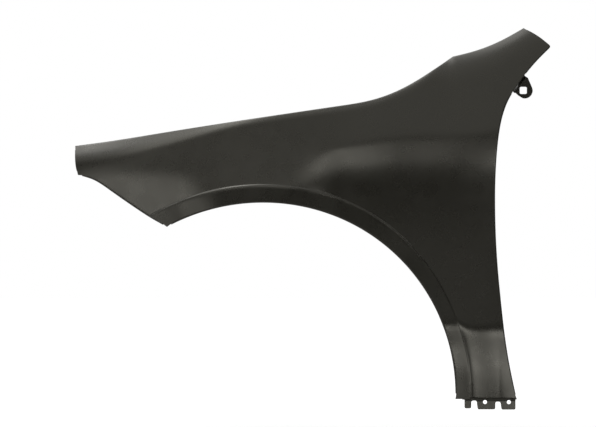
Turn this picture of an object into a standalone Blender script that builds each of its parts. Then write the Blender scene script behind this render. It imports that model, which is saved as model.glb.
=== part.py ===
"""A pressed steel front fender for the left side of a car, as one sheet with all its folds.

X runs rearwards, Y runs inboard and Z runs up. The sheet is drawn from the wheel's axis, where
Y is zero at the widest plane of the car, and is then moved so that the origin lies on the
underside of the middle bolt pad of the hood-side shelf. Lengths are in metres.
"""

import math

import bmesh
import bpy
import numpy as np

# Overall sizes of the outer skin, and where the wheel's axis lies in them
FENDER_LENGTH = 0.9146
FENDER_HEIGHT = 0.7086
SHEET_THICKNESS = 0.0008
WHEEL_SETBACK_SHARE = 0.40652
WHEEL_SETBACK = WHEEL_SETBACK_SHARE * FENDER_LENGTH
SILL_BELOW_AXLE_SHARE = 0.02554
SILL_BELOW_AXLE = SILL_BELOW_AXLE_SHARE * FENDER_HEIGHT

# Wheel arch, which opens out a little from its tightest angle towards both ends
ARCH_RADIUS_SHARE = 0.3853
ARCH_RADIUS = ARCH_RADIUS_SHARE * FENDER_LENGTH
ARCH_TIGHTEST_ANGLE = math.radians(58)
ARCH_FRONT_SPREAD = math.radians(64)
ARCH_REAR_SPREAD = math.radians(61)
ARCH_FRONT_OPENING_SHARE = 0.0315
ARCH_FRONT_POWER = 2.5
ARCH_REAR_OPENING_SHARE = 0.0112

# Raised lip along the arch, ended by a ledge
LIP_WIDTH_TOP = 0.0375
LIP_WIDTH_REAR = 0.031
LIP_HEIGHT_TOP = 0.0055
LIP_HEIGHT_REAR = 0.0022
LIP_TOP_ANGLE = math.radians(62)
LIP_REAR_ANGLE = math.radians(18)
LEDGE_START_SHARE = 0.80
LEDGE_END_SHARE = 0.97
LIP_ROW_SHARES = (0.20, 0.42, LEDGE_START_SHARE, 0.86, 0.91, LEDGE_END_SHARE, 1.10)
LIP_LEVEL_SHARE = 0.2

# Outline of the skin in the side view, as shares of the length and the height from the front
# end and from the sill end's lower edge
HOOD_LINE_SHARES = (
    (0.0, 0.6806),
    (0.0628, 0.6907),
    (0.1773, 0.7132),
    (0.3658, 0.7508),
    (0.5536, 0.7868),
    (0.6287, 0.8051),
    (0.6916, 0.8374),
    (0.742, 0.8763),
    (0.794, 0.922),
)
WINDSCREEN_SHARES = ((0.794, 0.922), (0.8435, 0.9387), (0.8942, 0.9651), (0.943, 1.0))
TIP_SHARES = ((0.943, 1.0), (0.97, 0.9801), (1.0, 0.9488))
DOOR_EDGE_SHARES = (
    (1.0, 0.9488),
    (0.9686, 0.9085),
    (0.9325, 0.8517),
    (0.9075, 0.8),
    (0.8931, 0.7471),
    (0.8847, 0.6823),
    (0.8791, 0.5198),
    (0.8844, 0.36),
    (0.8943, 0.2308),
    (0.9075, 0.1023),
    (0.9237, 0.0),
)
FRONT_EDGE_SHARES = ((0.0075, 0.6012), (0.0033, 0.6188), (0.0003, 0.6638), (0.0, 0.6806))
BUMPER_CUT_SHARES = (
    (0.2274, 0.4391),
    (0.1976, 0.4598),
    (0.1787, 0.4726),
    (0.1281, 0.5132),
    (0.0772, 0.5583),
    (0.0388, 0.5888),
    (0.0075, 0.6012),
)
TIP_CORNER_RADIUS = 0.0055
CORNER_RELIEF = 0.008
EAR_RELIEF = 0.004

# Depth of the skin: how far it turns in, and how steeply it leans
CROWN_SETBACK = 0.060
FRONT_TURN_IN = 0.115
FRONT_TURN_POWER = 2.2
REAR_TURN_IN = 0.006
LEAN_FRONT = 0.38
LEAN_REAR = 0.50
LEAN_LEVEL_FRONT = 0.405
LEAN_LEVEL_REAR = 0.450
LEAN_CHANGE_START = -0.020
LEAN_CHANGE_LENGTH = 0.270

# Shoulder line, as shares of the length and the height, and the easing of the lean under it
SHOULDER_LINE_SHARES = (
    (0.42838, 0.5477),
    (0.47431, 0.62531),
    (0.51476, 0.65919),
    (0.58911, 0.68107),
    (0.66346, 0.69729),
    (0.73672, 0.70294),
    (0.81106, 0.70505),
    (0.8876, 0.71705),
)
SHOULDER_STEP = 0.20
SHOULDER_EASE = 0.30
SHOULDER_SHARPNESS = 0.003
SHOULDER_SOFTENING = 0.014
SHOULDER_EASE_DROP = 0.050
SHOULDER_EASE_LENGTH = 0.018
SHOULDER_FADE_START = 0.020
SHOULDER_FADE_LENGTH = 0.130

# Fairing of the lip over the top of the arch, which keeps its line smooth in plan
FAIRING_SETBACK = 0.068
FAIRING_DEPTH = 0.009
FAIRING_SPREAD = 0.050
FAIRING_REACH = 0.070

# Softer change of lean ahead of the arch
NOSE_LINE_HEIGHT = 0.410
NOSE_STEP = 0.18
NOSE_EASE_LENGTH = 0.012
NOSE_FADE_START = -0.080
NOSE_FADE_LENGTH = 0.100

# Tuck of the rear leg and the flare over the sill
TUCK_HEIGHT = 0.330
TUCK_LEAN = 0.08
TUCK_LENGTH = 0.030
FLARE_HEIGHT = 0.112
FLARE_LEAN = 0.36
FLARE_SHARPNESS = 0.005
FLARE_END_HEIGHT = 0.045
FLARE_END_LEAN = 0.13
FLARE_END_LENGTH = 0.020
FLARE_LIP_RISE = 0.150
FLARE_LIP_REACH = 0.011
LEG_FADE_LENGTH = 0.200

# Roll of the skin into the hood line and the windscreen edge, and into the door edge
ROLL_WIDTH_FRONT = 0.027
ROLL_WIDTH_MIDDLE = 0.009
ROLL_WIDTH_WINDSCREEN = 0.018
ROLL_LEAN_FRONT = 0.75
ROLL_LEAN_MIDDLE = 0.45
ROLL_LEAN_WINDSCREEN = 0.95
ROLL_SOFT_SHARE = 0.18
DOOR_ROLL_WIDTH = 0.022
DOOR_ROLL_LEAN = 0.14
DOOR_ROLL_LENGTH = 0.006

# Folded edges, whose bends tighten and whose flanges shorten towards the corners
EDGE_BEND_RADIUS = 0.003
HOOD_BEND_RADIUS = 0.0035
TIP_BEND_RADIUS = 0.0018
EAR_EDGE_BEND_RADIUS = 0.0013
TIGHT_BEND_RADIUS = 0.0012
BEND_FADE_LENGTH = 0.016
FLANGE_END_SHARE = 0.35
ARCH_FLANGE_DEPTH = 0.013
ARCH_TAB_DEPTH = 0.010
ARCH_TAB_WIDTH = 0.034
ARCH_TAB_ANGLES = tuple(math.radians(angle) for angle in (108, 80, 50, 20))
ARCH_TAB_HOLE = 0.007
BUMPER_FLANGE_DEPTH = 0.015
FRONT_FLANGE_DEPTH = 0.018
BUMPER_HOLE = 0.0065
BUMPER_HOLE_SHARES = (0.33, 0.72)
HEADLAMP_HOLE = 0.008
HEADLAMP_HOLE_SHARES = (0.5,)
DOOR_FLANGE_DEPTH = 0.015
TIP_FLANGE_DEPTH = 0.008

# Gutter wall and bolt shelf along the hood line
WALL_LEAN = math.radians(8)
WALL_DEPTH_FRONT = 0.022
WALL_DEPTH_REAR = 0.008
SHELF_WIDTH = 0.017
SHELF_WIDTH_REAR = 0.010
PAD_EXTRA_WIDTH = 0.015
PAD_LENGTH = 0.052
PAD_RAMP_LENGTH = 0.016
ORIGIN_PAD_SHARE = 0.45025
PAD_SHARES = (0.0785, 0.26438, ORIGIN_PAD_SHARE, 0.62519)
PAD_DROP = 0.003
PAD_HOLE = 0.0095
PAD_HOLE_EDGE_SHARE = 0.46
ORIGIN_AHEAD_OF_HOLE = 0.014

# Slotted flange under the sill end: fingers and slot tops (start, end, drop), and holes (place,
# drop). Places run from the door edge towards the arch as shares of the way between them, and
# drops run down from the skin as shares of the flange's own drop.
SILL_JOGGLE = 0.0022
SILL_JOGGLE_HEIGHT = 0.0035
SILL_FLANGE_DROP = 0.0205
SILL_FINGER_SHARES = ((0.8274, 0.7204, 0.878), (0.6185, 0.3399, 0.976), (0.2421, 0.0199, 1.0))
SILL_SLOT_SHARES = ((0.7180, 0.6359, 0.161), (0.3383, 0.2612, 0.268))
SILL_FINGER_CORNER = 0.0032
SILL_SLOT_CORNER_SHARE = 0.34
SILL_SHOULDER_DROP = 0.0014
SILL_HOLE = 0.0076
SILL_HOLE_SHARES = ((0.5025, 0.293), (0.1260, 0.307))

# Bolt ear that the door-side return is drawn out to. Its middle and its hole lie off the middle
# of its root by shares of its radius, and the ends of its sides by shares of the root's length.
EAR_ROOT_SHARES = (0.108, 0.163)
EAR_STEP = 0.010
EAR_STEP_ANGLE = math.radians(76)
EAR_BEND_RADIUS = 0.0022
EAR_REACH = 0.036
EAR_RADIUS = 0.0152
EAR_CENTRE_SHARES = (0.785, -0.882)
EAR_TOP_SHARES = (0.409, 0.407)
EAR_FOOT_SHARES = (-0.257, -0.366)
EAR_HOLE = 0.0136
EAR_HOLE_CORNER = 0.0028
EAR_HOLE_CENTRE_SHARES = (0.603, -0.862)
EAR_TRIM_MARGIN = 0.014

# How finely the sheet is divided: the body reaches up to a waist line across the shoulder, and
# the head above it ends at the tip
WAIST_HOOD_SHARE = 0.82
WAIST_DOOR_SHARE = 0.245
LONGEST_HOOD_STEP = 0.031
KINK_COLUMNS = 6
TIP_COLUMNS = 5
CORNER_COLUMNS = 4
HEAD_COLUMNS = 3
EAR_COLUMNS = 5
NECK_COLUMNS = 4
SIDE_COLUMNS = CORNER_COLUMNS // 2 + HEAD_COLUMNS + EAR_COLUMNS + NECK_COLUMNS
WINDSCREEN_COLUMNS = SIDE_COLUMNS - KINK_COLUMNS
DOOR_COLUMNS = 19
MAIN_ROWS = 16
NOSE_CORNER_ROW = 11
END_ROW_SHARE = 0.5
FACED_SHARE = 0.45
BODY_FADE = 6
BEND_STEPS = 3
JOGGLE_STEPS = 3

# Cutting
CUT_OVERRUN = 0.004
HOLE_SIDES = 16
CORNER_STEPS = 3
EAR_SIDES = 20


def ease(share):
    """Smooth step from 0 to 1."""
    share = np.clip(share, 0.0, 1.0)
    return share * share * (3 - 2 * share)


def softened_ramp(rise, length):
    """Zero below, a slope of 1 above, with a bend that is about length long."""
    return length * np.logaddexp(0, rise / length)


def spline(points, stations):
    """Natural cubic spline through points, read at shares of its chord length."""
    points = np.asarray(points, float)
    chords = np.linalg.norm(np.diff(points, axis=0), axis=1)
    knots = np.concatenate(([0.0], np.cumsum(chords)))
    count = len(points)
    system = np.identity(count)
    pull = np.zeros_like(points)
    for k in range(1, count - 1):
        system[k, k - 1 : k + 2] = chords[k - 1], 2 * (chords[k - 1] + chords[k]), chords[k]
        ahead = (points[k + 1] - points[k]) / chords[k]
        behind = (points[k] - points[k - 1]) / chords[k - 1]
        pull[k] = 6 * (ahead - behind)
    bend = np.linalg.solve(system, pull)
    place = np.asarray(stations, float) * knots[-1]
    k = np.clip(np.searchsorted(knots, place, side="right") - 1, 0, count - 2)
    span = chords[k][:, None]
    after = (knots[k + 1] - place)[:, None]
    before = (place - knots[k])[:, None]
    curve = (bend[k] * after**3 + bend[k + 1] * before**3) / (6 * span)
    curve += (points[k] / span - bend[k] * span / 6) * after
    return curve + (points[k + 1] / span - bend[k + 1] * span / 6) * before


def outline(shares):
    """Outline points in the side view, from shares of the overall sizes."""
    sizes = np.array((FENDER_LENGTH, FENDER_HEIGHT))
    return np.asarray(shares) * sizes - np.array((WHEEL_SETBACK, SILL_BELOW_AXLE))


HOOD_LINE = outline(HOOD_LINE_SHARES)
WINDSCREEN_EDGE = outline(WINDSCREEN_SHARES)
TIP_EDGE = outline(TIP_SHARES)
DOOR_EDGE = outline(DOOR_EDGE_SHARES)
FRONT_EDGE = outline(FRONT_EDGE_SHARES)
BUMPER_CUT = outline(BUMPER_CUT_SHARES)
FINE = np.linspace(0, 1, 161)
TOP_POINTS = np.vstack([spline(edge, FINE)[1:] for edge in (HOOD_LINE, WINDSCREEN_EDGE, TIP_EDGE)])
DOOR_POINTS = spline(DOOR_EDGE, FINE)[::-1]
SHOULDER_POINTS = spline(outline(SHOULDER_LINE_SHARES), FINE)
PAD_PLACES = np.array(PAD_SHARES) * FENDER_LENGTH - WHEEL_SETBACK
SILL_SPAN = DOOR_EDGE[-1, 0] - ARCH_RADIUS


def hood_stations():
    """Columns along the hood line up to the waist, with one at every edge of a pad and its ramps."""
    chords = np.linalg.norm(np.diff(HOOD_LINE, axis=0), axis=1)
    flat = (PAD_LENGTH - PAD_RAMP_LENGTH) / 2
    edges = [
        place + side * reach
        for place in PAD_PLACES
        for side, reach in ((-1, flat + PAD_RAMP_LENGTH), (-1, flat), (1, flat), (1, flat + PAD_RAMP_LENGTH))
    ]
    marks = np.interp(edges, spline(HOOD_LINE, FINE)[:, 0], FINE)
    marks = np.concatenate(((CORNER_RELIEF / chords.sum(),), marks, (WAIST_HOOD_SHARE,)))
    stations = [0.0]
    for start, end in zip(marks[:-1], marks[1:]):
        steps = max(1, math.ceil((end - start) * chords.sum() / LONGEST_HOOD_STEP))
        stations.extend(start + (end - start) * np.arange(steps) / steps)
    return np.array((*stations, WAIST_HOOD_SHARE))


HOOD_STATIONS = hood_stations()
HOOD_COLUMNS = len(HOOD_STATIONS) - 1


def arch_radius(angle):
    """Radius of the arch edge at an angle up from the rearward axis."""
    ahead = np.maximum(angle - ARCH_TIGHTEST_ANGLE, 0) / ARCH_FRONT_SPREAD
    behind = np.maximum(ARCH_TIGHTEST_ANGLE - angle, 0) / ARCH_REAR_SPREAD
    opening = ARCH_FRONT_OPENING_SHARE * ahead**ARCH_FRONT_POWER
    opening = opening + ARCH_REAR_OPENING_SHARE * behind**2
    return ARCH_RADIUS * (1 + opening)


def outside_arch(points):
    """How far points of the side view lie outside the arch edge."""
    angle = np.arctan2(points[..., 1], points[..., 0])
    return np.hypot(points[..., 0], points[..., 1]) - arch_radius(angle)


def lip_share(angle):
    """1 on the front and top of the lip, 0 low on the rear leg."""
    return ease((angle - LIP_REAR_ANGLE) / (LIP_TOP_ANGLE - LIP_REAR_ANGLE))


def lip_width(angle):
    return LIP_WIDTH_REAR + (LIP_WIDTH_TOP - LIP_WIDTH_REAR) * lip_share(angle)


def lip_height(angle, share):
    """How proud the lip stands at a share of its width: full height, then the ledge."""
    full = LIP_HEIGHT_REAR + (LIP_HEIGHT_TOP - LIP_HEIGHT_REAR) * lip_share(angle)
    ledge = ease((share - LEDGE_START_SHARE) / (LEDGE_END_SHARE - LEDGE_START_SHARE))
    return full * (1 - ledge)


def body_depth(x, z):
    """Depth of the skin without its lip, from the widest plane inwards."""
    ahead = np.maximum(CROWN_SETBACK - x, 0) / (CROWN_SETBACK + WHEEL_SETBACK)
    behind = np.maximum(x - CROWN_SETBACK, 0) / (FENDER_LENGTH - WHEEL_SETBACK - CROWN_SETBACK)
    depth = FRONT_TURN_IN * ahead**FRONT_TURN_POWER + REAR_TURN_IN * behind**2
    rearness = ease((x - LEAN_CHANGE_START) / LEAN_CHANGE_LENGTH)
    lean = LEAN_FRONT + (LEAN_REAR - LEAN_FRONT) * rearness
    level = LEAN_LEVEL_FRONT + (LEAN_LEVEL_REAR - LEAN_LEVEL_FRONT) * rearness
    depth = depth + lean * (z - level)

    shoulder = np.interp(x, SHOULDER_POINTS[:, 0], SHOULDER_POINTS[:, 1])
    present = ease((x - SHOULDER_FADE_START) / SHOULDER_FADE_LENGTH)
    softness = SHOULDER_SHARPNESS + SHOULDER_SOFTENING * (1 - present)
    depth = depth + present * SHOULDER_STEP * softened_ramp(shoulder - z, softness)
    under = shoulder - SHOULDER_EASE_DROP - z
    depth = depth + present * SHOULDER_EASE * softened_ramp(under, SHOULDER_EASE_LENGTH)

    nose = ease((NOSE_FADE_START - x) / NOSE_FADE_LENGTH)
    depth = depth + nose * NOSE_STEP * softened_ramp(NOSE_LINE_HEIGHT - z, NOSE_EASE_LENGTH)

    out = np.maximum(outside_arch(np.stack((x, z), axis=-1)), 0)
    fairing = np.exp(-(((x - FAIRING_SETBACK) / FAIRING_SPREAD) ** 2) - out / FAIRING_REACH)
    depth = depth + FAIRING_DEPTH * fairing

    leg = ease(x / LEG_FADE_LENGTH)
    flare_line = FLARE_HEIGHT + FLARE_LIP_RISE * np.exp(-out / FLARE_LIP_REACH)
    depth = depth + leg * TUCK_LEAN * softened_ramp(TUCK_HEIGHT - z, TUCK_LENGTH)
    depth = depth - leg * FLARE_LEAN * softened_ramp(flare_line - z, FLARE_SHARPNESS)
    flare_end = softened_ramp(FLARE_END_HEIGHT - z, FLARE_END_LENGTH)
    depth = depth + leg * FLARE_END_LEAN * flare_end

    under_top = np.interp(x, TOP_POINTS[:, 0], TOP_POINTS[:, 1]) - z
    middle = ease((x + WHEEL_SETBACK) / WHEEL_SETBACK)
    rear = ease((x - HOOD_LINE[-2, 0]) / (HOOD_LINE[-1, 0] - HOOD_LINE[-2, 0]))
    width = ROLL_WIDTH_FRONT + (ROLL_WIDTH_MIDDLE - ROLL_WIDTH_FRONT) * middle
    width = width + (ROLL_WIDTH_WINDSCREEN - ROLL_WIDTH_MIDDLE) * rear
    roll = ROLL_LEAN_FRONT + (ROLL_LEAN_MIDDLE - ROLL_LEAN_FRONT) * middle
    roll = roll + (ROLL_LEAN_WINDSCREEN - ROLL_LEAN_MIDDLE) * rear
    depth = depth + roll * softened_ramp(width - under_top, ROLL_SOFT_SHARE * width)

    door = np.interp(z, DOOR_POINTS[:, 1], DOOR_POINTS[:, 0])
    return depth + DOOR_ROLL_LEAN * softened_ramp(x - door + DOOR_ROLL_WIDTH, DOOR_ROLL_LENGTH)


def on_skin(points):
    """Points of the side view with the body's depth: an array of x, y and z."""
    depth = body_depth(points[..., 0], points[..., 1])
    return np.stack((points[..., 0], depth, points[..., 1]), axis=-1)


def lean_across(points, outward):
    """Angle at which the skin leans inboard on the way out over an edge."""
    step = EDGE_BEND_RADIUS
    inside = points - outward * step
    rise = body_depth(points[..., 0], points[..., 1]) - body_depth(inside[..., 0], inside[..., 1])
    return np.arctan2(rise, step)


def side_normals(points, turn):
    """Unit normals of a line of points, to the left of its way (turn 1) or the right (-1)."""
    along = np.gradient(points, axis=0)
    along = along / np.linalg.norm(along, axis=1)[:, None]
    return turn * np.stack((-along[:, 1], along[:, 0]), axis=1)


def set_in(points, outward, radius):
    """Move an outline inwards, so that the bend outside it ends on the true outline."""
    radius = np.broadcast_to(radius, len(points))[:, None]
    lean = lean_across(points - outward * radius, outward)[:, None]
    return points - outward * radius * (1 - np.sin(lean))


def bend_sizes(line, stops, reliefs, full):
    """Radius of the fold along a line, and the share of it by which the skin stands back.

    Both follow the distance along the line to the nearest stop of the fold, less the relief
    there: the radius grows from tight to full, and the share falls to 0 at the stop itself.
    """
    way = np.concatenate(((0.0,), np.cumsum(np.linalg.norm(np.diff(line, axis=0), axis=1))))
    places = np.interp(stops, np.arange(len(line)), way)
    past = np.abs(way[:, None] - places) - np.array(reliefs)
    fade = np.clip(past.min(axis=1) / BEND_FADE_LENGTH, 0, 1)
    share = np.clip(1 + past / np.array(reliefs), 0, 1).min(axis=1)
    return TIGHT_BEND_RADIUS + (full - TIGHT_BEND_RADIUS) * fade, share


def bent_line(curve, stops):
    """A curve of the outline set in for its bend, but running out to the corners at the stops."""
    radius, share = bend_sizes(curve, stops, [CORNER_RELIEF] * len(stops), EDGE_BEND_RADIUS)
    return curve + share[:, None] * (set_in(curve, side_normals(curve, 1), radius) - curve)


def spaced(count):
    """Shares from 0 to 1 with shorter steps at both ends."""
    share = np.linspace(0, 1, count + 1)
    return share - END_ROW_SHARE * np.sin(2 * math.pi * share) / (2 * math.pi)


def outer_outline():
    """The top and rear outline by columns, and the columns at which its parts begin."""
    windscreen_gap, tip_gap, door_gap = (
        CORNER_RELIEF / np.linalg.norm(edge[-1] - edge[0])
        for edge in (WINDSCREEN_EDGE, TIP_EDGE, DOOR_EDGE)
    )
    tip_end = 1 - tip_gap * TIP_CORNER_RADIUS / CORNER_RELIEF
    door_start = door_gap * TIP_CORNER_RADIUS / CORNER_RELIEF
    kink = np.linspace(WAIST_HOOD_SHARE, 1, KINK_COLUMNS + 1)
    top = spline(HOOD_LINE, np.concatenate((HOOD_STATIONS, kink[1:])))
    stations = np.append(np.linspace(0, 1 - windscreen_gap, WINDSCREEN_COLUMNS), 1)
    windscreen = spline(WINDSCREEN_EDGE, stations)
    tip = spline(TIP_EDGE, np.append(0, np.linspace(tip_gap, tip_end, TIP_COLUMNS)))
    ear_gap = door_gap * EAR_RELIEF / CORNER_RELIEF
    head = np.linspace(door_start, EAR_ROOT_SHARES[0] - ear_gap, HEAD_COLUMNS)
    ear = np.linspace(*EAR_ROOT_SHARES, EAR_COLUMNS + 1)
    neck = np.linspace(EAR_ROOT_SHARES[1] + ear_gap, WAIST_DOOR_SHARE, NECK_COLUMNS)
    rest = np.linspace(WAIST_DOOR_SHARE, 1 - door_gap, DOOR_COLUMNS)
    door = spline(DOOR_EDGE, np.concatenate((head, ear, neck, rest[1:], (1,))))
    share = np.linspace(0, 1, CORNER_COLUMNS + 1)[:, None]
    corner = (1 - share) ** 2 * tip[-1] + 2 * share * (1 - share) * TIP_EDGE[-1]
    corner = corner + share**2 * door[0]
    points = np.vstack((top, windscreen[1:], tip[1:], corner[1:], door[1:]))
    tip_top = HOOD_COLUMNS + SIDE_COLUMNS
    tip_rear = tip_top + TIP_COLUMNS + CORNER_COLUMNS
    return points, tip_top, tip_rear


def meeting(line, offset):
    """Point of a line that lies the given distance outside the arch edge."""
    out = outside_arch(line)
    return np.array([np.interp(offset, out, line[:, k]) for k in range(2)])


def lip_depth(angle, offset):
    """Depth of the skin on the lip, which holds the level of its ledge nearly up to the edge."""
    width = lip_width(angle)
    ledge = LEDGE_END_SHARE * width
    held = np.where(offset > ledge, offset, ledge + (offset - ledge) * LIP_LEVEL_SHARE)
    radius = arch_radius(angle) + held
    depth = body_depth(radius * np.cos(angle), radius * np.sin(angle))
    return depth - lip_height(angle, offset / width)


def arch_shares(outer):
    """Where the columns of the outer outline meet the arch, as shares of its angle."""
    angle = np.arctan2(outer[:, 1], outer[:, 0])
    faced = (angle[0] - angle) / (angle[0] - angle[-1])
    even = np.linspace(0, 1, len(outer))
    return even + FACED_SHARE * (faced - even)


def arch_line(shares_along, front_line, sill_line):
    """The true arch edge at the columns, between the bumper cut and the sill end."""
    ends = [math.atan2(*meeting(line, 0)[::-1]) for line in (front_line, sill_line)]
    angle = ends[0] + shares_along * (ends[1] - ends[0])
    return arch_radius(angle)[:, None] * np.stack((np.cos(angle), np.sin(angle)), axis=1)


def lip_rows(shares_along, front_line, sill_line, set_back):
    """Rows of skin points along the arch, from the start of its bend outwards."""
    rows = []
    for share in (None, *LIP_ROW_SHARES):
        ends = []
        for line, width in ((front_line, LIP_WIDTH_TOP), (sill_line, LIP_WIDTH_REAR)):
            x, z = meeting(line, 0 if share is None else share * width)
            ends.append(math.atan2(z, x))
        angle = ends[0] + shares_along * (ends[1] - ends[0])
        offset = set_back if share is None else share * lip_width(angle)
        radius = arch_radius(angle) + offset
        depth = lip_depth(angle, offset)
        rows.append(np.stack((radius * np.cos(angle), depth, radius * np.sin(angle)), axis=1))
    return np.array(rows)


def chord_shares(line):
    """Shares of the way along a line of points, one for each point."""
    way = np.concatenate(((0.0,), np.cumsum(np.linalg.norm(np.diff(line, axis=0), axis=1))))
    return way / way[-1]


def blend_patch(inner, outer, side_front, side_rear, shares, fade):
    """Rows from the inner line to the outer, bent to follow the two side lines."""
    across = chord_shares(inner)[None, :, None]
    out = shares[:, None, None]
    patch = (1 - out) * inner[None] + out * outer[None]
    for side, weight in ((side_front, (1 - across) ** fade), (side_rear, across**fade)):
        chord = side[0] + shares[:, None] * (side[-1] - side[0])
        patch = patch + weight * (side - chord)[:, None]
    return patch


def bend_path(start, moves):
    """Offsets outwards and inboard along a folded edge, from its angle at the start.

    Each move is an arc (radius, angle it ends at) or a straight run (length); all may be arrays.
    """
    angle = np.asarray(start, float)
    out, inward = np.zeros_like(angle), np.zeros_like(angle)
    places = []
    for kind, size, end, steps in moves:
        if kind == "run":
            for _ in range(steps):
                out = out + size / steps * np.cos(angle)
                inward = inward + size / steps * np.sin(angle)
                places.append((out, inward))
            continue
        turn = np.sign(end - angle)
        centre_out = out - turn * size * np.sin(angle)
        centre_in = inward + turn * size * np.cos(angle)
        first = angle
        for k in range(1, steps + 1):
            angle = first + (end - first) * k / steps
            out = centre_out + turn * size * np.sin(angle)
            inward = centre_in - turn * size * np.cos(angle)
            places.append((out, inward))
    return places


def folded_strip(edge, outward, start, moves):
    """Rows of points that a folded edge adds outside an edge of the skin."""
    rows = []
    for out, inward in bend_path(start, moves):
        row = edge.copy()
        row[:, 0] += outward[:, 0] * out
        row[:, 1] += inward
        row[:, 2] += outward[:, 1] * out
        rows.append(row)
    return np.array(rows)


class Sheet:
    """Vertices and quads of one open sheet that grows from its skin."""

    def __init__(self):
        self.points = []
        self.faces = []

    def add(self, rows):
        """Store rows of points and return their numbers in the same layout."""
        first = len(self.points)
        self.points.extend(map(tuple, rows.reshape(-1, 3)))
        return np.arange(first, len(self.points)).reshape(rows.shape[:2])

    def fill(self, ids):
        """Quads between neighbouring rows and columns of point numbers."""
        corners = (ids[:-1, :-1], ids[:-1, 1:], ids[1:, 1:], ids[1:, :-1])
        self.faces.extend(map(tuple, np.stack(corners, axis=-1).reshape(-1, 4).tolist()))


def bump(distance, length, ramp):
    """1 within half a length, easing to 0 over a ramp beyond it."""
    return ease((length / 2 + ramp - np.abs(distance)) / ramp)


def pad_floor_height(place):
    """Height of the flat floor of a bolt pad on the hood-side shelf."""
    line = np.interp(place, TOP_POINTS[:, 0], TOP_POINTS[:, 1])
    return line - WALL_DEPTH_FRONT - HOOD_BEND_RADIUS - PAD_DROP


def pad_hole_depth(place):
    """How far inboard the middle of a pad's bolt hole lies."""
    point = np.array((place, np.interp(place, TOP_POINTS[:, 0], TOP_POINTS[:, 1])))
    reach = SHELF_WIDTH + PAD_EXTRA_WIDTH
    return float(body_depth(*point)) + 2 * HOOD_BEND_RADIUS + PAD_HOLE_EDGE_SHARE * reach


def hood_strip(edge, outward, lean, radius):
    """Gutter wall and shelf along the hood line, with level pads, fading out at the windscreen."""
    x = edge[:, 0]
    rear = ease((x - HOOD_LINE[-3, 0]) / (HOOD_LINE[-1, 0] - HOOD_LINE[-3, 0]))
    wall = WALL_DEPTH_FRONT + (WALL_DEPTH_REAR - WALL_DEPTH_FRONT) * rear
    shelf = SHELF_WIDTH + (SHELF_WIDTH_REAR - SHELF_WIDTH) * rear
    for place in PAD_PLACES:
        shelf = shelf + PAD_EXTRA_WIDTH * bump(x - place, PAD_LENGTH - PAD_RAMP_LENGTH, PAD_RAMP_LENGTH)
    down = math.pi - WALL_LEAN
    flat = math.pi / 2
    moves = (
        ("arc", radius, down, BEND_STEPS + 1),
        ("run", wall, None, 1),
        ("arc", HOOD_BEND_RADIUS, flat, 2),
        ("run", shelf, None, 2),
    )
    rows = folded_strip(edge, outward, lean, moves)
    for place in PAD_PLACES:
        level = bump(x - place, PAD_LENGTH - PAD_RAMP_LENGTH, PAD_RAMP_LENGTH)
        floor = pad_floor_height(place)
        rows[-3:, :, 2] += level * (floor - rows[-3:, :, 2])
        rows[-4, :, 2] += level * (floor - rows[-3, :, 2])
    return rows


def return_strip(edge, outward, lean, radius, depth):
    """Plain return flange along an edge, cut back at its ends as its bend tightens."""
    kept = np.clip((radius - TIGHT_BEND_RADIUS) / (EDGE_BEND_RADIUS - TIGHT_BEND_RADIUS), 0, 1)
    depth = depth * (FLANGE_END_SHARE + (1 - FLANGE_END_SHARE) * np.sqrt(kept))
    moves = (("arc", radius, math.pi / 2, BEND_STEPS), ("run", depth, None, 1))
    return folded_strip(edge, outward, lean, moves)


def arch_strip(edge, outward, lean, radius):
    """Turned-in flange of the arch, deeper at its fastener tabs."""
    angle = np.arctan2(edge[:, 2], edge[:, 0])
    depth = np.full_like(angle, ARCH_FLANGE_DEPTH)
    for tab in ARCH_TAB_ANGLES:
        depth = depth + ARCH_TAB_DEPTH * bump((angle - tab) * ARCH_RADIUS, 0, ARCH_TAB_WIDTH)
    return return_strip(edge, outward, lean, radius, depth)


def ear_strip(edge, outward, lean, radius):
    """Sloped step and level plate that the bolt ear is trimmed from."""
    moves = (
        ("arc", radius, EAR_STEP_ANGLE, 2),
        ("run", EAR_STEP, None, 1),
        ("arc", EAR_BEND_RADIUS, 0.0, 2),
        ("run", EAR_REACH, None, 2),
    )
    rows = folded_strip(edge, outward, lean, moves)
    rows[-3:, :, 1] = rows[-3, :, 1].mean()
    return rows


def sill_strip(edge):
    """Joggle and level flange below the sill end, one column for each height."""
    plane = edge[:, 1].mean() + SILL_JOGGLE
    columns = [edge]
    for step in range(1, JOGGLE_STEPS + 1):
        share = step / JOGGLE_STEPS
        column = edge.copy()
        column[:, 2] -= share * SILL_JOGGLE_HEIGHT
        column[:, 1] += ease(share) * (plane - edge[:, 1])
        columns.append(column)
    foot = columns[-1].copy()
    foot[:, 2] = edge[:, 2] - SILL_FLANGE_DROP - CUT_OVERRUN
    columns.append(foot)
    return np.stack(columns[1:], axis=1)


def front_side(start, cut_line, front_line):
    """Points up the bumper cut from the lip and up the front edge, one for each body row."""
    near = np.linspace(0, 1, len(FINE))
    cut_gap = CORNER_RELIEF / np.linalg.norm(BUMPER_CUT[-1] - BUMPER_CUT[0])
    front_gap = CORNER_RELIEF / np.linalg.norm(FRONT_EDGE[-1] - FRONT_EDGE[0])
    start = float(np.interp(outside_arch(start[None])[0], outside_arch(cut_line), near))
    up_cut = start + (1 - cut_gap - start) * spaced(NOSE_CORNER_ROW - 1)
    up_front = np.linspace(front_gap, 1 - front_gap, MAIN_ROWS - 1 - NOSE_CORNER_ROW)
    cut, front = (
        np.stack([np.interp(along, near, line[:, k]) for k in range(2)], axis=1)
        for line, along in ((cut_line, up_cut), (front_line, up_front))
    )
    return np.vstack((cut, FRONT_EDGE[0], front, FRONT_EDGE[-1]))


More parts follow.
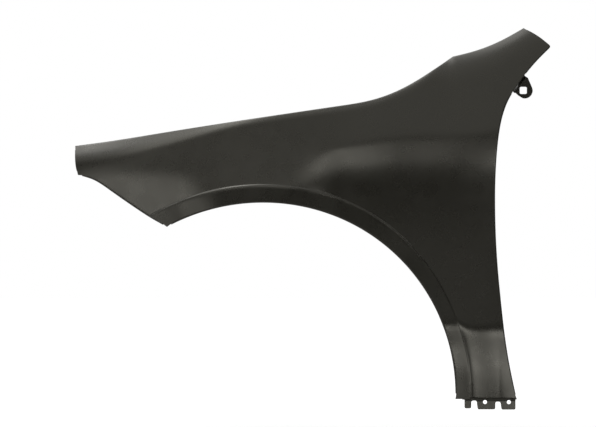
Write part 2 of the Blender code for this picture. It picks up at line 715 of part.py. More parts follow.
def border_bends(outer, tip_top, ear_first):
    """Bend radius at each column of the top and rear outline, and how far it is set back."""
    last = len(outer) - 1
    ear_last = ear_first + EAR_COLUMNS
    columns = np.arange(len(outer))
    full = np.where(columns <= tip_top, HOOD_BEND_RADIUS, EDGE_BEND_RADIUS)
    full = np.where((columns > tip_top) & (columns < ear_first), TIP_BEND_RADIUS, full)
    full = np.where((columns >= ear_first) & (columns <= ear_last), EAR_EDGE_BEND_RADIUS, full)
    stops = (0, tip_top, ear_first - 1 / 2, ear_last + 1 / 2, last)
    ear_half = EAR_RELIEF / 2
    reliefs = (CORNER_RELIEF, CORNER_RELIEF, ear_half, ear_half, CORNER_RELIEF)
    return bend_sizes(outer, stops, reliefs, full)


def skin_grids(outer, outer_normals, tip_top, radius, share):
    """Grids of skin points: the body with its lip, and the head above the waist line."""
    cut, front = spline(BUMPER_CUT, FINE), spline(FRONT_EDGE, FINE)
    last = len(FINE) - 1
    cut_line = bent_line(cut, (np.interp(0, outside_arch(cut), np.arange(len(FINE))), last))
    front_line = bent_line(front, (0, last))
    sill_end = DOOR_EDGE[-1]
    sill_line = np.stack((np.linspace(0, sill_end[0], len(FINE)), np.full(len(FINE), sill_end[1])), 1)
    border = outer + share[:, None] * (set_in(outer, outer_normals, radius) - outer)

    waist_hood = HOOD_COLUMNS
    head_corner = tip_top + TIP_COLUMNS + CORNER_COLUMNS // 2
    waist_door = head_corner + SIDE_COLUMNS
    tip = border[tip_top : head_corner + 1]
    way = ((spaced(len(tip) - 1) + chord_shares(tip)) / 2)[:, None]
    waist = (1 - way) * border[waist_hood] + way * border[waist_door]
    body_top = np.vstack((border[:waist_hood], waist, border[waist_door + 1 :]))
    along = arch_shares(body_top)
    arch = arch_line(along, cut_line, sill_line)
    stops = (0, len(arch) - 1)
    lip_bend, lip_share_back = bend_sizes(arch, stops, [CORNER_RELIEF] * 2, EDGE_BEND_RADIUS)
    lip = lip_rows(along, cut_line, sill_line, lip_bend * lip_share_back)
    inner = lip[-1][:, [0, 2]]
    shares = spaced(MAIN_ROWS)
    side_front = front_side(inner[0], cut_line, front_line)
    side_rear = inner[-1] + shares[:, None] * (border[-1] - inner[-1])
    body = on_skin(blend_patch(inner, body_top, side_front, side_rear, shares, BODY_FADE))

    hood_side = border[waist_hood : tip_top + 1]
    door_side = border[head_corner : waist_door + 1][::-1]
    shares = (chord_shares(hood_side) + chord_shares(door_side)) / 2
    head = blend_patch(waist, tip, hood_side, door_side, shares, 1)
    return np.concatenate((lip[:-1], body)), on_skin(head), len(lip) - 1, lip_bend


def build_sheet():
    """The whole open sheet: skin, folded edges, ear plate and sill flange."""
    outer, tip_top, tip_rear = outer_outline()
    outer_normals = side_normals(outer, 1)
    ear_first = tip_rear + HEAD_COLUMNS
    ear_last = ear_first + EAR_COLUMNS
    radius, share = border_bends(outer, tip_top, ear_first)
    skin, head, lip_count, lip_bend = skin_grids(outer, outer_normals, tip_top, radius, share)
    columns = len(outer) - 1

    sheet = Sheet()
    ids = sheet.add(skin)
    sheet.fill(ids)
    waist_end = HOOD_COLUMNS + head.shape[1]
    head_ids = np.vstack((ids[-1, HOOD_COLUMNS:waist_end], sheet.add(head[1:])))
    sheet.fill(head_ids)
    sides = (head_ids[:, 0], head_ids[-1, 1:-1], head_ids[::-1, -1])
    rim = np.concatenate((ids[-1, :HOOD_COLUMNS], *sides, ids[-1, waist_end:]))

    def grow_top(first, last, make, *extra):
        part = slice(first, last + 1)
        outward = outer_normals[part]
        edge = np.array(sheet.points)[rim[part]]
        lean = lean_across(edge[:, [0, 2]], outward)
        rows = make(edge, outward, lean, radius[part], *extra)
        sheet.fill(np.vstack((rim[part], sheet.add(rows))))
        return rows

    grow_top(1, tip_top - 1, hood_strip)
    grow_top(tip_top + 1, ear_first - 1, return_strip, TIP_FLANGE_DEPTH)
    ear_depth = grow_top(ear_first, ear_last, ear_strip)[-1, 0, 1]
    grow_top(ear_last + 1, columns - 1, return_strip, DOOR_FLANGE_DEPTH)

    arch_edge = skin[0, 1:-1]
    towards_wheel = side_normals(skin[0][:, [0, 2]], -1)[1:-1]
    rows = arch_strip(arch_edge, towards_wheel, np.zeros(len(arch_edge)), lip_bend[1:-1])
    sheet.fill(np.vstack((sheet.add(rows)[::-1], ids[0, 1:-1])))

    nose_corner = lip_count + NOSE_CORNER_ROW
    side = skin[:, 0][:, [0, 2]]
    stops = (0, nose_corner, len(side) - 1)
    side_bend, _ = bend_sizes(side, stops, [CORNER_RELIEF] * 3, EDGE_BEND_RADIUS)
    for first, last, depth in (
        (1, nose_corner - 1, BUMPER_FLANGE_DEPTH),
        (nose_corner + 1, len(skin) - 2, FRONT_FLANGE_DEPTH),
    ):
        part = slice(first, last + 1)
        outward = side_normals(side[part], 1)
        edge = skin[part, 0]
        lean = lean_across(edge[:, [0, 2]], outward)
        rows = return_strip(edge, outward, lean, side_bend[part], depth)
        strip = sheet.add(rows)[::-1].T
        sheet.fill(np.hstack((strip, ids[part, :1])))

    first_finger = DOOR_EDGE[-1, 0] - SILL_FINGER_SHARES[0][0] * SILL_SPAN
    first = int(np.argmax(skin[:, -1, 0] > first_finger)) - 1
    part = slice(first, len(skin))
    rows = sill_strip(skin[part, -1])
    sheet.fill(np.hstack((ids[part, -1:], sheet.add(rows))))
    return sheet, float(ear_depth), float(rows[-1, -1, 1])


def make_material():
    """Satin black primer on steel."""
    material = bpy.data.materials.new("black_primer")
    material.use_nodes = True
    shader = material.node_tree.nodes["Principled BSDF"]
    shader.inputs["Base Color"].default_value = (0.030, 0.028, 0.025, 1.0)
    shader.inputs["Roughness"].default_value = 0.36
    shader.inputs["Metallic"].default_value = 0.0
    return material


def origin_point():
    """The row's origin: beside the bolt hole, on the underside of the middle pad."""
    place = ORIGIN_PAD_SHARE * FENDER_LENGTH - WHEEL_SETBACK
    height = pad_floor_height(place) - SHEET_THICKNESS
    return np.array((place - ORIGIN_AHEAD_OF_HOLE, pad_hole_depth(place), height))


def make_panel(collection):
    """The fender panel: the open sheet with its thickness."""
    sheet, ear_depth, sill_depth = build_sheet()
    mesh = bpy.data.meshes.new("fender_panel")
    mesh.from_pydata(sheet.points, [], sheet.faces)
    mesh.update()
    panel = bpy.data.objects.new("fender_panel", mesh)
    collection.objects.link(panel)
    mesh.materials.append(make_material())
    mesh.shade_smooth()
    solidify = panel.modifiers.new("sheet_thickness", "SOLIDIFY")
    solidify.thickness = SHEET_THICKNESS
    solidify.offset = -1
    panel.modifiers.new("flat_faces", "TRIANGULATE")
    return panel, ear_depth, sill_depth


def cutter_object(name, collection, mesh):
    cutter = bpy.data.objects.new(name, mesh)
    collection.objects.link(cutter)
    cutter.hide_render = True
    cutter.display_type = "WIRE"
    return cutter


def prism(name, collection, section, base, axis, across, length):
    """A closed prism: a flat section swept both ways from base along axis."""
    axis = np.asarray(axis, float)
    across = np.asarray(across, float)
    other = np.cross(axis, across)
    section = np.asarray(section, float)
    flat = base + section[:, :1] * across + section[:, 1:] * other
    shape = bmesh.new()
    face = shape.faces.new([shape.verts.new(point - axis * length) for point in flat])
    moved = bmesh.ops.extrude_face_region(shape, geom=[face])["geom"]
    verts = [item for item in moved if isinstance(item, bmesh.types.BMVert)]
    bmesh.ops.translate(shape, vec=2 * axis * length, verts=verts)
    bmesh.ops.recalc_face_normals(shape, faces=shape.faces)
    mesh = bpy.data.meshes.new(name)
    shape.to_mesh(mesh)
    shape.free()
    return cutter_object(name, collection, mesh)


def circle(radius, sides):
    angle = np.arange(sides) * 2 * math.pi / sides
    return np.stack((radius * np.cos(angle), radius * np.sin(angle)), axis=1)


def rounded_square(size, corner, steps=3):
    """Outline of a square with round corners, about its middle."""
    points = []
    for quarter in range(4):
        turn = quarter * math.pi / 2
        middle = (size / 2 - corner) * math.sqrt(2)
        centre = middle * np.array((math.cos(turn + math.pi / 4), math.sin(turn + math.pi / 4)))
        for k in range(steps + 1):
            angle = turn + math.pi / 2 * k / steps
            points.append(centre + corner * np.array((math.cos(angle), math.sin(angle))))
    return np.array(points)


def filleted(corners):
    """Outline with arcs at its corners, each given as x, z and a radius of 0 for a sharp one."""
    points = []
    count = len(corners)
    for k, (x, z, radius) in enumerate(corners):
        here = np.array((x, z))
        if not radius:
            points.append(here)
            continue
        ways = [np.array(corners[(k + step) % count][:2]) - here for step in (-1, 1)]
        ways = [way / np.linalg.norm(way) for way in ways]
        half = math.acos(float(np.clip(ways[0] @ ways[1], -1, 1))) / 2
        bisector = (ways[0] + ways[1]) / np.linalg.norm(ways[0] + ways[1])
        centre = here + bisector * radius / math.sin(half)
        start, end = (here + way * radius / math.tan(half) - centre for way in ways)
        turn = math.pi - 2 * half
        for step in range(CORNER_STEPS + 1):
            share = step / CORNER_STEPS
            mix = math.sin((1 - share) * turn) * start + math.sin(share * turn) * end
            points.append(centre + mix / math.sin(turn))
    return np.array(points)


def side_prism(name, collection, section, depth, length):
    """A prism whose section lies in the side view, swept inboard and outboard of a depth."""
    section = np.asarray(section) * np.array((1, -1))
    return prism(name, collection, section, np.array((0, depth, 0)), (0, 1, 0), (1, 0, 0), length)


def pad_cutters(collection):
    """Bolt holes down through the pads of the shelf."""
    cutters = []
    for k, place in enumerate(PAD_PLACES):
        base = np.array((place, pad_hole_depth(place), pad_floor_height(place)))
        section = circle(PAD_HOLE / 2, HOLE_SIDES)
        name = f"pad_hole_{k + 1}"
        cutters.append(prism(name, collection, section, base, (0, 0, 1), (1, 0, 0), CUT_OVERRUN))
    return cutters


def arch_cutters(collection):
    """Fastener holes through the tabs of the arch flange."""
    cutters = []
    for k, angle in enumerate(ARCH_TAB_ANGLES):
        ray = np.array((math.cos(angle), 0, math.sin(angle)))
        base = ray * float(arch_radius(angle))
        base[1] = float(lip_depth(np.float64(angle), EDGE_BEND_RADIUS))
        base[1] += EDGE_BEND_RADIUS + ARCH_FLANGE_DEPTH + ARCH_TAB_DEPTH - ARCH_TAB_HOLE
        section = circle(ARCH_TAB_HOLE / 2, HOLE_SIDES)
        name = f"arch_hole_{k + 1}"
        cutters.append(prism(name, collection, section, base, ray, (0, 1, 0), CUT_OVERRUN))
    return cutters


def front_cutters(collection):
    """Bracket holes through the bumper and headlamp flanges."""
    cutters = []
    for line, shares, hole, depth in (
        (BUMPER_CUT, BUMPER_HOLE_SHARES, BUMPER_HOLE, BUMPER_FLANGE_DEPTH),
        (FRONT_EDGE, HEADLAMP_HOLE_SHARES, HEADLAMP_HOLE, FRONT_FLANGE_DEPTH),
    ):
        curve = spline(line, FINE)
        normals = side_normals(curve, 1)
        for share in shares:
            k = int(share * (len(FINE) - 1))
            (x, z), (out_x, out_z) = curve[k], normals[k]
            level = float(body_depth(x, z)) + EDGE_BEND_RADIUS + depth / 2
            name = f"front_hole_{len(cutters) + 1}"
            section = circle(hole / 2, HOLE_SIDES)
            base, axis = np.array((x, level, z)), (out_x, 0, out_z)
            cutters.append(prism(name, collection, section, base, axis, (0, 1, 0), CUT_OVERRUN))
    return cutters


def sill_cutters(collection, depth):
    """Trim around the fingers of the sill flange, and its two holes."""
    end_x, end_z = DOOR_EDGE[-1]
    margin = SILL_FLANGE_DROP
    shoulder = SILL_SHOULDER_DROP
    sizes = np.array((SILL_SPAN, SILL_SPAN, SILL_FLANGE_DROP))
    fingers = np.array(SILL_FINGER_SHARES) * sizes
    slots = np.array(SILL_SLOT_SHARES) * sizes
    first, last = fingers[0, 0], fingers[-1, 1]
    corners = [(first + margin, shoulder, 0), (first, shoulder, 0)]
    for k, (start, end, drop) in enumerate(fingers):
        corners += [(start, drop, SILL_FINGER_CORNER), (end, drop, SILL_FINGER_CORNER)]
        if k < len(slots):
            start, end, drop = slots[k]
            corner = SILL_SLOT_CORNER_SHARE * (start - end)
            corners += [(start, drop, corner), (end, drop, corner)]
    corners += [(last, shoulder, 0), (-margin, shoulder, 0)]
    corners += [(-margin, 3 * margin, 0), (first + margin, 3 * margin, 0)]
    placed = [(end_x - back, end_z - drop, radius) for back, drop, radius in corners]
    cutters = [side_prism("sill_trim", collection, filleted(placed), depth, margin)]
    for k, (back, drop) in enumerate(np.array(SILL_HOLE_SHARES) * sizes[1:]):
        section = circle(SILL_HOLE / 2, HOLE_SIDES) + np.array((end_x - back, end_z - drop))
        name = f"sill_hole_{k + 1}"
        cutters.append(side_prism(name, collection, section, depth, CUT_OVERRUN))
    return cutters


def tangent_point(point, centre, radius, side):
    """Where a line from a point touches a circle, on the left (1) or the right (-1) of its way."""
    way = centre - point
    reach = float(np.linalg.norm(way))
    turn = side * math.acos(radius / reach)
    back = -way / reach
    spun = np.array((
        back[0] * math.cos(turn) - back[1] * math.sin(turn),
        back[0] * math.sin(turn) + back[1] * math.cos(turn),
    ))
    return centre + radius * spun


def ear_places():
    """Middles of the ear and of its hole, and the ends of its sides, from its root."""
    first, last = EAR_ROOT_SHARES
    above, middle, below = spline(DOOR_EDGE, (first, (first + last) / 2, last))
    root = np.linalg.norm(below - above)
    places = [
        middle + size * np.array(share)
        for size, share in (
            (EAR_RADIUS, EAR_CENTRE_SHARES),
            (EAR_RADIUS, EAR_HOLE_CENTRE_SHARES),
            (root, EAR_TOP_SHARES),
            (root, EAR_FOOT_SHARES),
        )
    ]
    return places


def ear_cutters(collection, depth):
    """Trim around the ear, which leaves a round end on straight sides, and its square hole."""
    centre, hole_centre, top, foot = ear_places()
    first = tangent_point(top, centre, EAR_RADIUS, -1)
    last = tangent_point(foot, centre, EAR_RADIUS, 1)
    start, end = (math.atan2(*(point - centre)[::-1]) for point in (first, last))
    sweep = np.linspace(start, end - 2 * math.pi if end > start else end, EAR_SIDES)
    arc = centre + EAR_RADIUS * np.stack((np.cos(sweep), np.sin(sweep)), axis=1)
    margin = EAR_TRIM_MARGIN
    far = EAR_RADIUS + margin
    outer = np.array((
        (foot[0], foot[1] - margin),
        (centre[0], centre[1] - far),
        (centre[0] + far + margin, centre[1] - far),
        (centre[0] + far + margin, top[1] + margin),
        (top[0] + margin, top[1] + margin),
    ))
    section = np.vstack((top, arc, foot, outer))
    hole = rounded_square(EAR_HOLE, EAR_HOLE_CORNER) + hole_centre
    return [
        side_prism("ear_trim", collection, section, depth, CUT_OVERRUN),
        side_prism("ear_hole", collection, hole, depth, CUT_OVERRUN),
    ]


def add_cutters(panel, cutters):
    for cutter in cutters:
        cut = panel.modifiers.new(cutter.name, "BOOLEAN")
        cut.operation = "DIFFERENCE"
        cut.solver = "EXACT"
        cut.object = cutter


def main():
    for old in list(bpy.data.objects):
        bpy.data.objects.remove(old, do_unlink=True)
    parts = bpy.data.collections.new("car_fender")
    cutters = bpy.data.collections.new("cutters")
    for collection in (parts, cutters):
        bpy.context.scene.collection.children.link(collection)
    panel, ear_depth, sill_depth = make_panel(parts)
    add_cutters(panel, pad_cutters(cutters) + arch_cutters(cutters) + front_cutters(cutters))
    add_cutters(panel, ear_cutters(cutters, ear_depth) + sill_cutters(cutters, sill_depth))
    shift = -origin_point()
    for item in (*parts.objects, *cutters.objects):
        item.location = shift


main()
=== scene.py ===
"""Visual model of the car fender: the pressed sheet at full fineness, its primer and its stage.

The surface is worked out in the wheel's frame, where X runs rearwards, Y inboard and Z up from
the axle, and is then moved into the row's frame. Lengths are in metres.
"""

import math

import bpy
import numpy as np
from bpy.props import FloatProperty, FloatVectorProperty, IntProperty, PointerProperty
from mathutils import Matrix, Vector


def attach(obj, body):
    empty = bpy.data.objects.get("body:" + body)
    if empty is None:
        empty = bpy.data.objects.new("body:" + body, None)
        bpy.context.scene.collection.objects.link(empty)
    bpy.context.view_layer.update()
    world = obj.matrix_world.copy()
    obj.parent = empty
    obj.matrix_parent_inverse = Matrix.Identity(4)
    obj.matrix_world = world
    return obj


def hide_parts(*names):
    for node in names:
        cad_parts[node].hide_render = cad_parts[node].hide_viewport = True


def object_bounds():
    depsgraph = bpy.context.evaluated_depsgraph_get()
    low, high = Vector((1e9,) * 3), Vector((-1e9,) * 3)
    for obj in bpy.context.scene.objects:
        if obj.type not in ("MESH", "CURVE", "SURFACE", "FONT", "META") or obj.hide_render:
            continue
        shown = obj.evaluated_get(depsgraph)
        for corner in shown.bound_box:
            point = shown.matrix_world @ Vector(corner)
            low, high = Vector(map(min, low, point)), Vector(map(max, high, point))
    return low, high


bl_info = {
    "name": "Car Fender",
    "version": (1, 0, 0),
    "blender": (4, 5, 0),
    "location": "3D View > Sidebar > Car Fender",
    "description": "Makes a pressed steel car fender in black primer, with its stage",
    "category": "Add Mesh",
}

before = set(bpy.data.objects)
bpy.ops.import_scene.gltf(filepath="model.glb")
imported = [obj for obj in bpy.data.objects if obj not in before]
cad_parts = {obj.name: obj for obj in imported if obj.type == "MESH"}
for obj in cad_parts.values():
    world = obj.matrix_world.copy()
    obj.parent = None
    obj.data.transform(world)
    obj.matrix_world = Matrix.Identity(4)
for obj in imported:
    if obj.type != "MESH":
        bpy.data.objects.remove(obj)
CAD_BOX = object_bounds()
NODE = "fender_panel"

# Overall sizes of the outer skin, and where the wheel's axis lies in them
LENGTH = 0.9146
HEIGHT = 0.7086
WHEEL_SETBACK = 0.3718
SILL_BELOW_AXLE = 0.0181

# Outline of the skin in the side view, as shares of the length and the height
HOOD_LINE = (
    (0.0, 0.6806), (0.0628, 0.6907), (0.1773, 0.7132), (0.3658, 0.7508), (0.5536, 0.7868),
    (0.6287, 0.8051), (0.6916, 0.8374), (0.742, 0.8763), (0.794, 0.922),
)
WINDSCREEN_EDGE = ((0.794, 0.922), (0.8435, 0.9387), (0.8942, 0.9651), (0.943, 1.0))
TIP_EDGE = ((0.943, 1.0), (0.97, 0.9801), (1.0, 0.9488))
DOOR_EDGE = (
    (1.0, 0.9488), (0.9686, 0.9085), (0.9325, 0.8517), (0.9075, 0.8), (0.8931, 0.7471),
    (0.8847, 0.6823), (0.8791, 0.5198), (0.8844, 0.36), (0.8943, 0.2308), (0.9075, 0.1023),
    (0.9237, 0.0),
)
FRONT_EDGE = ((0.0075, 0.6012), (0.0033, 0.6188), (0.0003, 0.6638), (0.0, 0.6806))
BUMPER_CUT = (
    (0.2274, 0.4391), (0.1976, 0.4598), (0.1787, 0.4726), (0.1281, 0.5132), (0.0772, 0.5583),
    (0.0388, 0.5888), (0.0075, 0.6012),
)

# Wheel arch, which opens out from its tightest angle towards both ends
TIGHTEST_ANGLE = math.radians(58)
ARCH_FRONT_SPREAD = math.radians(64)
ARCH_REAR_SPREAD = math.radians(61)
ARCH_FRONT_OPENING = 0.0315
ARCH_FRONT_POWER = 2.5
ARCH_REAR_OPENING = 0.0112

# Raised lip along the arch, ended by a ledge; behind the wheel it leans out between four angles
LIP_TOP_ANGLE = math.radians(62)
LIP_REAR_ANGLE = math.radians(18)
LIP_WIDTH_TOP = 0.0375
LIP_WIDTH_REAR = 0.031
LIP_LEVEL_SHARE = 0.2
LIP_LEAN = 0.10
LEAN_ANGLES = tuple(math.radians(angle) for angle in (2, 14, 34, 48))
LEDGE_START = 0.87
LEDGE_END = 0.97
LIP_SHARES = (0.0, 0.20, 0.42, LEDGE_START, 0.90, 0.935, LEDGE_END, 1.10)

# Form of the skin: where it is widest, and how it turns in and leans from there
CROWN_SETBACK = 0.060
FRONT_TURN_IN = 0.115
FRONT_TURN_POWER = 2.2
REAR_TURN_IN = 0.006
LEAN_FRONT = 0.38
LEAN_REAR = 0.50
LEAN_LEVEL_FRONT = 0.405
LEAN_LEVEL_REAR = 0.450
LEAN_CHANGE_START = -0.020
LEAN_CHANGE_LENGTH = 0.270

# Shoulder line in the side view, in metres from the axle, and the step and hollow under it
SHOULDER_LINE = (
    (0.020, 0.370), (0.062, 0.425), (0.099, 0.449), (0.167, 0.4645), (0.235, 0.476),
    (0.302, 0.480), (0.370, 0.4815), (0.440, 0.490),
)
SHOULDER_STEP = 0.20
SHOULDER_SHARPNESS = 0.003
SHOULDER_SOFTENING = 0.014
SHOULDER_FADE_START = 0.020
SHOULDER_FADE_LENGTH = 0.130
HOLLOW_LEAN = 0.30
HOLLOW_DROP = 0.050
HOLLOW_LENGTH = 0.018

# Step under the nose line, and the fairing over the arch
NOSE_LINE_HEIGHT = 0.410
NOSE_STEP = 0.18
NOSE_EASE_LENGTH = 0.012
NOSE_FADE_START = -0.080
NOSE_FADE_LENGTH = 0.100
FAIRING_SETBACK = 0.068
FAIRING_DEPTH = 0.009
FAIRING_SPREAD = 0.050
FAIRING_REACH = 0.070

# Leg behind the wheel: its tuck, and its flare, which starts higher at the lip
LEG_FADE_LENGTH = 0.200
TUCK_HEIGHT = 0.330
TUCK_LEAN = 0.08
TUCK_LENGTH = 0.030
FLARE_HEIGHT = 0.112
FLARE_LEAN = 0.36
FLARE_SHARPNESS = 0.005
FLARE_LIP_RISE = 0.150
FLARE_LIP_REACH = 0.011
FLARE_END_HEIGHT = 0.045
FLARE_END_LEAN = 0.13
FLARE_END_LENGTH = 0.020

# Rolls over the top line and over the door edge; the door's lean changes below a height
ROLL_WIDTH_FRONT = 0.027
ROLL_WIDTH_MIDDLE = 0.009
ROLL_WIDTH_WINDSCREEN = 0.018
ROLL_LEAN_FRONT = 0.75
ROLL_LEAN_MIDDLE = 0.45
ROLL_LEAN_WINDSCREEN = 0.95
ROLL_SOFT_SHARE = 0.18
ROLL_SOFT_SHARE_WINDSCREEN = 0.48
DOOR_ROLL_WIDTH = 0.022
DOOR_ROLL_LENGTH = 0.006
DOOR_LEAN_HIGH = 0.01
DOOR_LEAN_LOW = 0.14
DOOR_LEAN_HEIGHT = 0.36
DOOR_LEAN_LENGTH = 0.10

# Folded edges, bolt pads of the hood-side shelf, and reliefs at the corners
EDGE_BEND = 0.003
HOOD_BEND = 0.0035
TIP_BEND = 0.0018
EAR_EDGE_BEND = 0.0013
TIGHT_BEND = 0.0012
BEND_FADE = 0.016
CORNER_RELIEF = 0.008
EAR_RELIEF = 0.004
TIP_CORNER = 0.0055
WALL_LEAN = math.radians(8)
WALL_FRONT = 0.022
WALL_REAR = 0.008
SHELF_FRONT = 0.017
SHELF_REAR = 0.010
PAD_PLACES = (-0.300, -0.130, 0.040, 0.200)
PAD_EXTRA = 0.015
PAD_LENGTH = 0.052
PAD_RAMP = 0.016
PAD_DROP = 0.003
PAD_HOLE_SHARE = 0.46
ORIGIN_PAD = 2
ORIGIN_AHEAD = 0.014
TAB_ANGLES = tuple(math.radians(angle) for angle in (108, 80, 50, 20))
TAB_DEPTH = 0.010
TAB_WIDTH = 0.034
TAB_HOLE = 0.007
BUMPER_DEPTH = 0.015
FRONT_DEPTH = 0.018
TIP_DEPTH = 0.008
FLANGE_END = 0.35
FRONT_HOLES = (
    (BUMPER_CUT, (0.33, 0.72), 0.0065, BUMPER_DEPTH),
    (FRONT_EDGE, (0.5,), 0.008, FRONT_DEPTH),
)

# Slotted flange of the sill end, measured back from the door edge and down from the skin; its
# lean and its turn are slopes that carry on the flare
SILL_JOGGLE = 0.0022
SILL_JOGGLE_HEIGHT = 0.0035
SILL_LEAN = 0.20
SILL_TURN = 0.10
SILL_DROP = 0.0205
SILL_FINGERS = ((0.0998, 0.0869, 0.0180), (0.0746, 0.0410, 0.0200), (0.0292, 0.0024, 0.0205))
SILL_SLOTS = ((0.0866, 0.0767, 0.0033), (0.0408, 0.0315, 0.0055))
SILL_FINGER_CORNER = 0.0032
SILL_SLOT_CORNER = 0.0033
SILL_SHOULDER = 0.0014
SILL_HOLES = ((0.0606, 0.0060), (0.0152, 0.0063))
SILL_HOLE_REACH = 0.012

# Bolt ear beside the door edge
EAR_ROOT = (0.108, 0.163)
EAR_STEP = 0.010
EAR_STEP_ANGLE = math.radians(76)
EAR_BEND = 0.0022
EAR_REACH = 0.036
EAR_RADIUS = 0.0152
EAR_CENTRE = (0.4910, 0.5692)
EAR_TOP = (0.4950, 0.5985)
EAR_FOOT = (0.4690, 0.5683)
EAR_HOLE_CORNER = 0.0028
EAR_HOLE_CENTRE = (0.4882, 0.5695)
EAR_MARGIN = 0.014

# Stations of the grid before it is refined, steps of its folds and of its cuts' outlines, and
# the angle past which an edge of the finished mesh is sharp
WAIST_HOOD = 0.82
WAIST_DOOR = 0.245
HOOD_STEP = 0.031
KINK_COLUMNS = 6
TIP_COLUMNS = 5
CORNER_COLUMNS = 4
HEAD_COLUMNS = 3
EAR_COLUMNS = 5
NECK_COLUMNS = 4
SIDE_COLUMNS = CORNER_COLUMNS // 2 + HEAD_COLUMNS + EAR_COLUMNS + NECK_COLUMNS
DOOR_COLUMNS = 19
MAIN_ROWS = 16
NOSE_ROW = 11
BODY_FADE = 6
ANGLE_SHARE = 0.45
BEND_STEPS = 6
WALL_STEPS = 2
FLANGE_STEPS = 3
SHELF_STEPS = 4
PLATE_STEPS = 5
FOOT_STEPS = 4
HOLE_SIDES = 40
CORNER_POINTS = 9
CUT_OVERRUN = 0.004
SHARP_ANGLE = math.radians(38)

# The camera of the photograph: its distance, what it aims at and the width that it sees there
CAMERA_DISTANCE = 12.0
CAMERA_AIM = (0.0572, 0.0, 0.3340)
VIEW_WIDTH = 1.1324

# Grain of the primer: its mottling and its clouds in waves a metre, and the depth of its peel
MOTTLE_SCALE = 9.0
MOTTLE_RANGE = (0.35, 0.75)
MOTTLE_SHARE = 0.7
CLOUD_SCALE = 34.0
CLOUD_RANGE = (0.3, 0.7)
CLOUD_SPREAD = 0.02
PEEL_DEPTH = 0.0001

# Floor: half its width, its roughness, its level in gloss behind the sheet, the stretch of Y in
# which it turns from the room to that level, and how far out its pool of grey starts and ends
FLOOR_HALF = 20.0
FLOOR_ROUGHNESS = 0.9
FLOOR_BACKDROP = 0.9
FLOOR_TURN = (-0.3, 0.6)
FLOOR_POOL = (0.9, 2.4)

# World in gloss: the Y of a ray's direction at which it turns from the room to the backdrop, and
# the Z at which the room brightens
RAY_TURN = (-0.15, 0.15)
RAY_RISE = (0.48, 0.84)

# Lamps: where each one stands, what it aims at and its size
MIDDLE = (0.05, 0.0, -0.15)
LAMPS = (
    ("top", (-0.8, 0.5, 2.4), MIDDLE, (5.0, 1.2)),
    ("nose", (-1.50, 1.08, 2.06), (-0.35, 0.1, -0.1), (0.8, 0.5)),
    ("left", (-2.83, -2.83, 1.36), MIDDLE, (3.1, 0.85)),
    ("front", (-0.58, -3.95, 1.80), MIDDLE, (2.0, 1.1)),
    ("near", (-0.42, 0.10, 1.50), (-0.15, 0.0, 0.1), (0.7, 0.3)),
    ("side", (-1.60, -2.1, -0.31), (-0.25, 0.0, -0.15), (0.9, 0.5)),
    ("low", (1.48, -2.59, 0.73), (0.4, 0.0, -0.4), (0.9, 0.8)),
)


def ease(share):
    """Smooth step from 0 to 1: share squared times 3 less twice the share."""
    share = np.clip(share, 0.0, 1.0)
    return share * share * (3 - 2 * share)


def ramp(rise, length):
    """Zero below and a slope of 1 above, joined by a bend about length long."""
    return length * np.logaddexp(0, rise / length)


def spline(points, stations):
    """Natural cubic spline through points, read at shares of its chord length.

    The bends at the points solve the usual three-term system, with none at both ends, and a
    place between two points is the cubic of its distances after and before them.
    """
    points = np.asarray(points, float)
    chords = np.linalg.norm(np.diff(points, axis=0), axis=1)
    knots = np.append(0.0, np.cumsum(chords))
    slopes = np.diff(points, axis=0) / chords[:, None]
    system = np.diag(np.concatenate(((1.0,), 2 * (chords[:-1] + chords[1:]), (1.0,))))
    system += np.diag(np.append(chords[:-1], 0.0), -1) + np.diag(np.append(0.0, chords[1:]), 1)
    pull = np.zeros_like(points)
    pull[1:-1] = 6 * np.diff(slopes, axis=0)
    bend = np.linalg.solve(system, pull)
    place = np.asarray(stations, float) * knots[-1]
    k = np.clip(np.searchsorted(knots, place, side="right") - 1, 0, len(chords) - 1)
    span = chords[k][:, None]
    after = (knots[k + 1] - place)[:, None]
    before = (place - knots[k])[:, None]
    curve = (bend[k] * after**3 + bend[k + 1] * before**3) / (6 * span)
    curve += (points[k] / span - bend[k] * span / 6) * after
    return curve + (points[k + 1] / span - bend[k + 1] * span / 6) * before


def refined(stations, count):
    """Each step between neighbouring stations cut into count equal steps."""
    stations = np.asarray(stations, float)
    last = len(stations) - 1
    return np.interp(np.arange(last * count + 1) / count, np.arange(last + 1), stations)


def spaced(count):
    """Shares from 0 to 1 with shorter steps at both ends: share less a sine wave of it."""
    share = np.linspace(0, 1, count + 1)
    return share - np.sin(2 * math.pi * share) / (4 * math.pi)


def chord_shares(line):
    """Shares of the way along a line of points, one for each point."""
    way = np.append(0.0, np.cumsum(np.linalg.norm(np.diff(line, axis=0), axis=1)))
    return way / way[-1]


def outline(shares):
    """Points of the side view from shares of the overall sizes."""
    return np.asarray(shares) * (LENGTH, HEIGHT) - np.array((WHEEL_SETBACK, SILL_BELOW_AXLE))


def bump(distance, length, slope):
    """1 within half a length, easing to 0 over a slope beyond it."""
    return ease((length / 2 + slope - np.abs(distance)) / slope)


def side_normals(points, turn):
    """Unit normals of a line of points, to the left of its way (turn 1) or the right (-1)."""
    along = np.gradient(points, axis=0)
    along = along / np.linalg.norm(along, axis=1)[:, None]
    return turn * np.stack((-along[:, 1], along[:, 0]), axis=1)


FINE = np.linspace(0, 1, 321)
HOOD, WINDSCREEN, TIP, DOOR, FRONT, BUMPER = (
    outline(shares)
    for shares in (HOOD_LINE, WINDSCREEN_EDGE, TIP_EDGE, DOOR_EDGE, FRONT_EDGE, BUMPER_CUT)
)
TOP_LINE = np.vstack([spline(edge, FINE)[1:] for edge in (HOOD, WINDSCREEN, TIP)])
DOOR_LINE = spline(DOOR, FINE)[::-1]
SHOULDER = spline(SHOULDER_LINE, FINE)


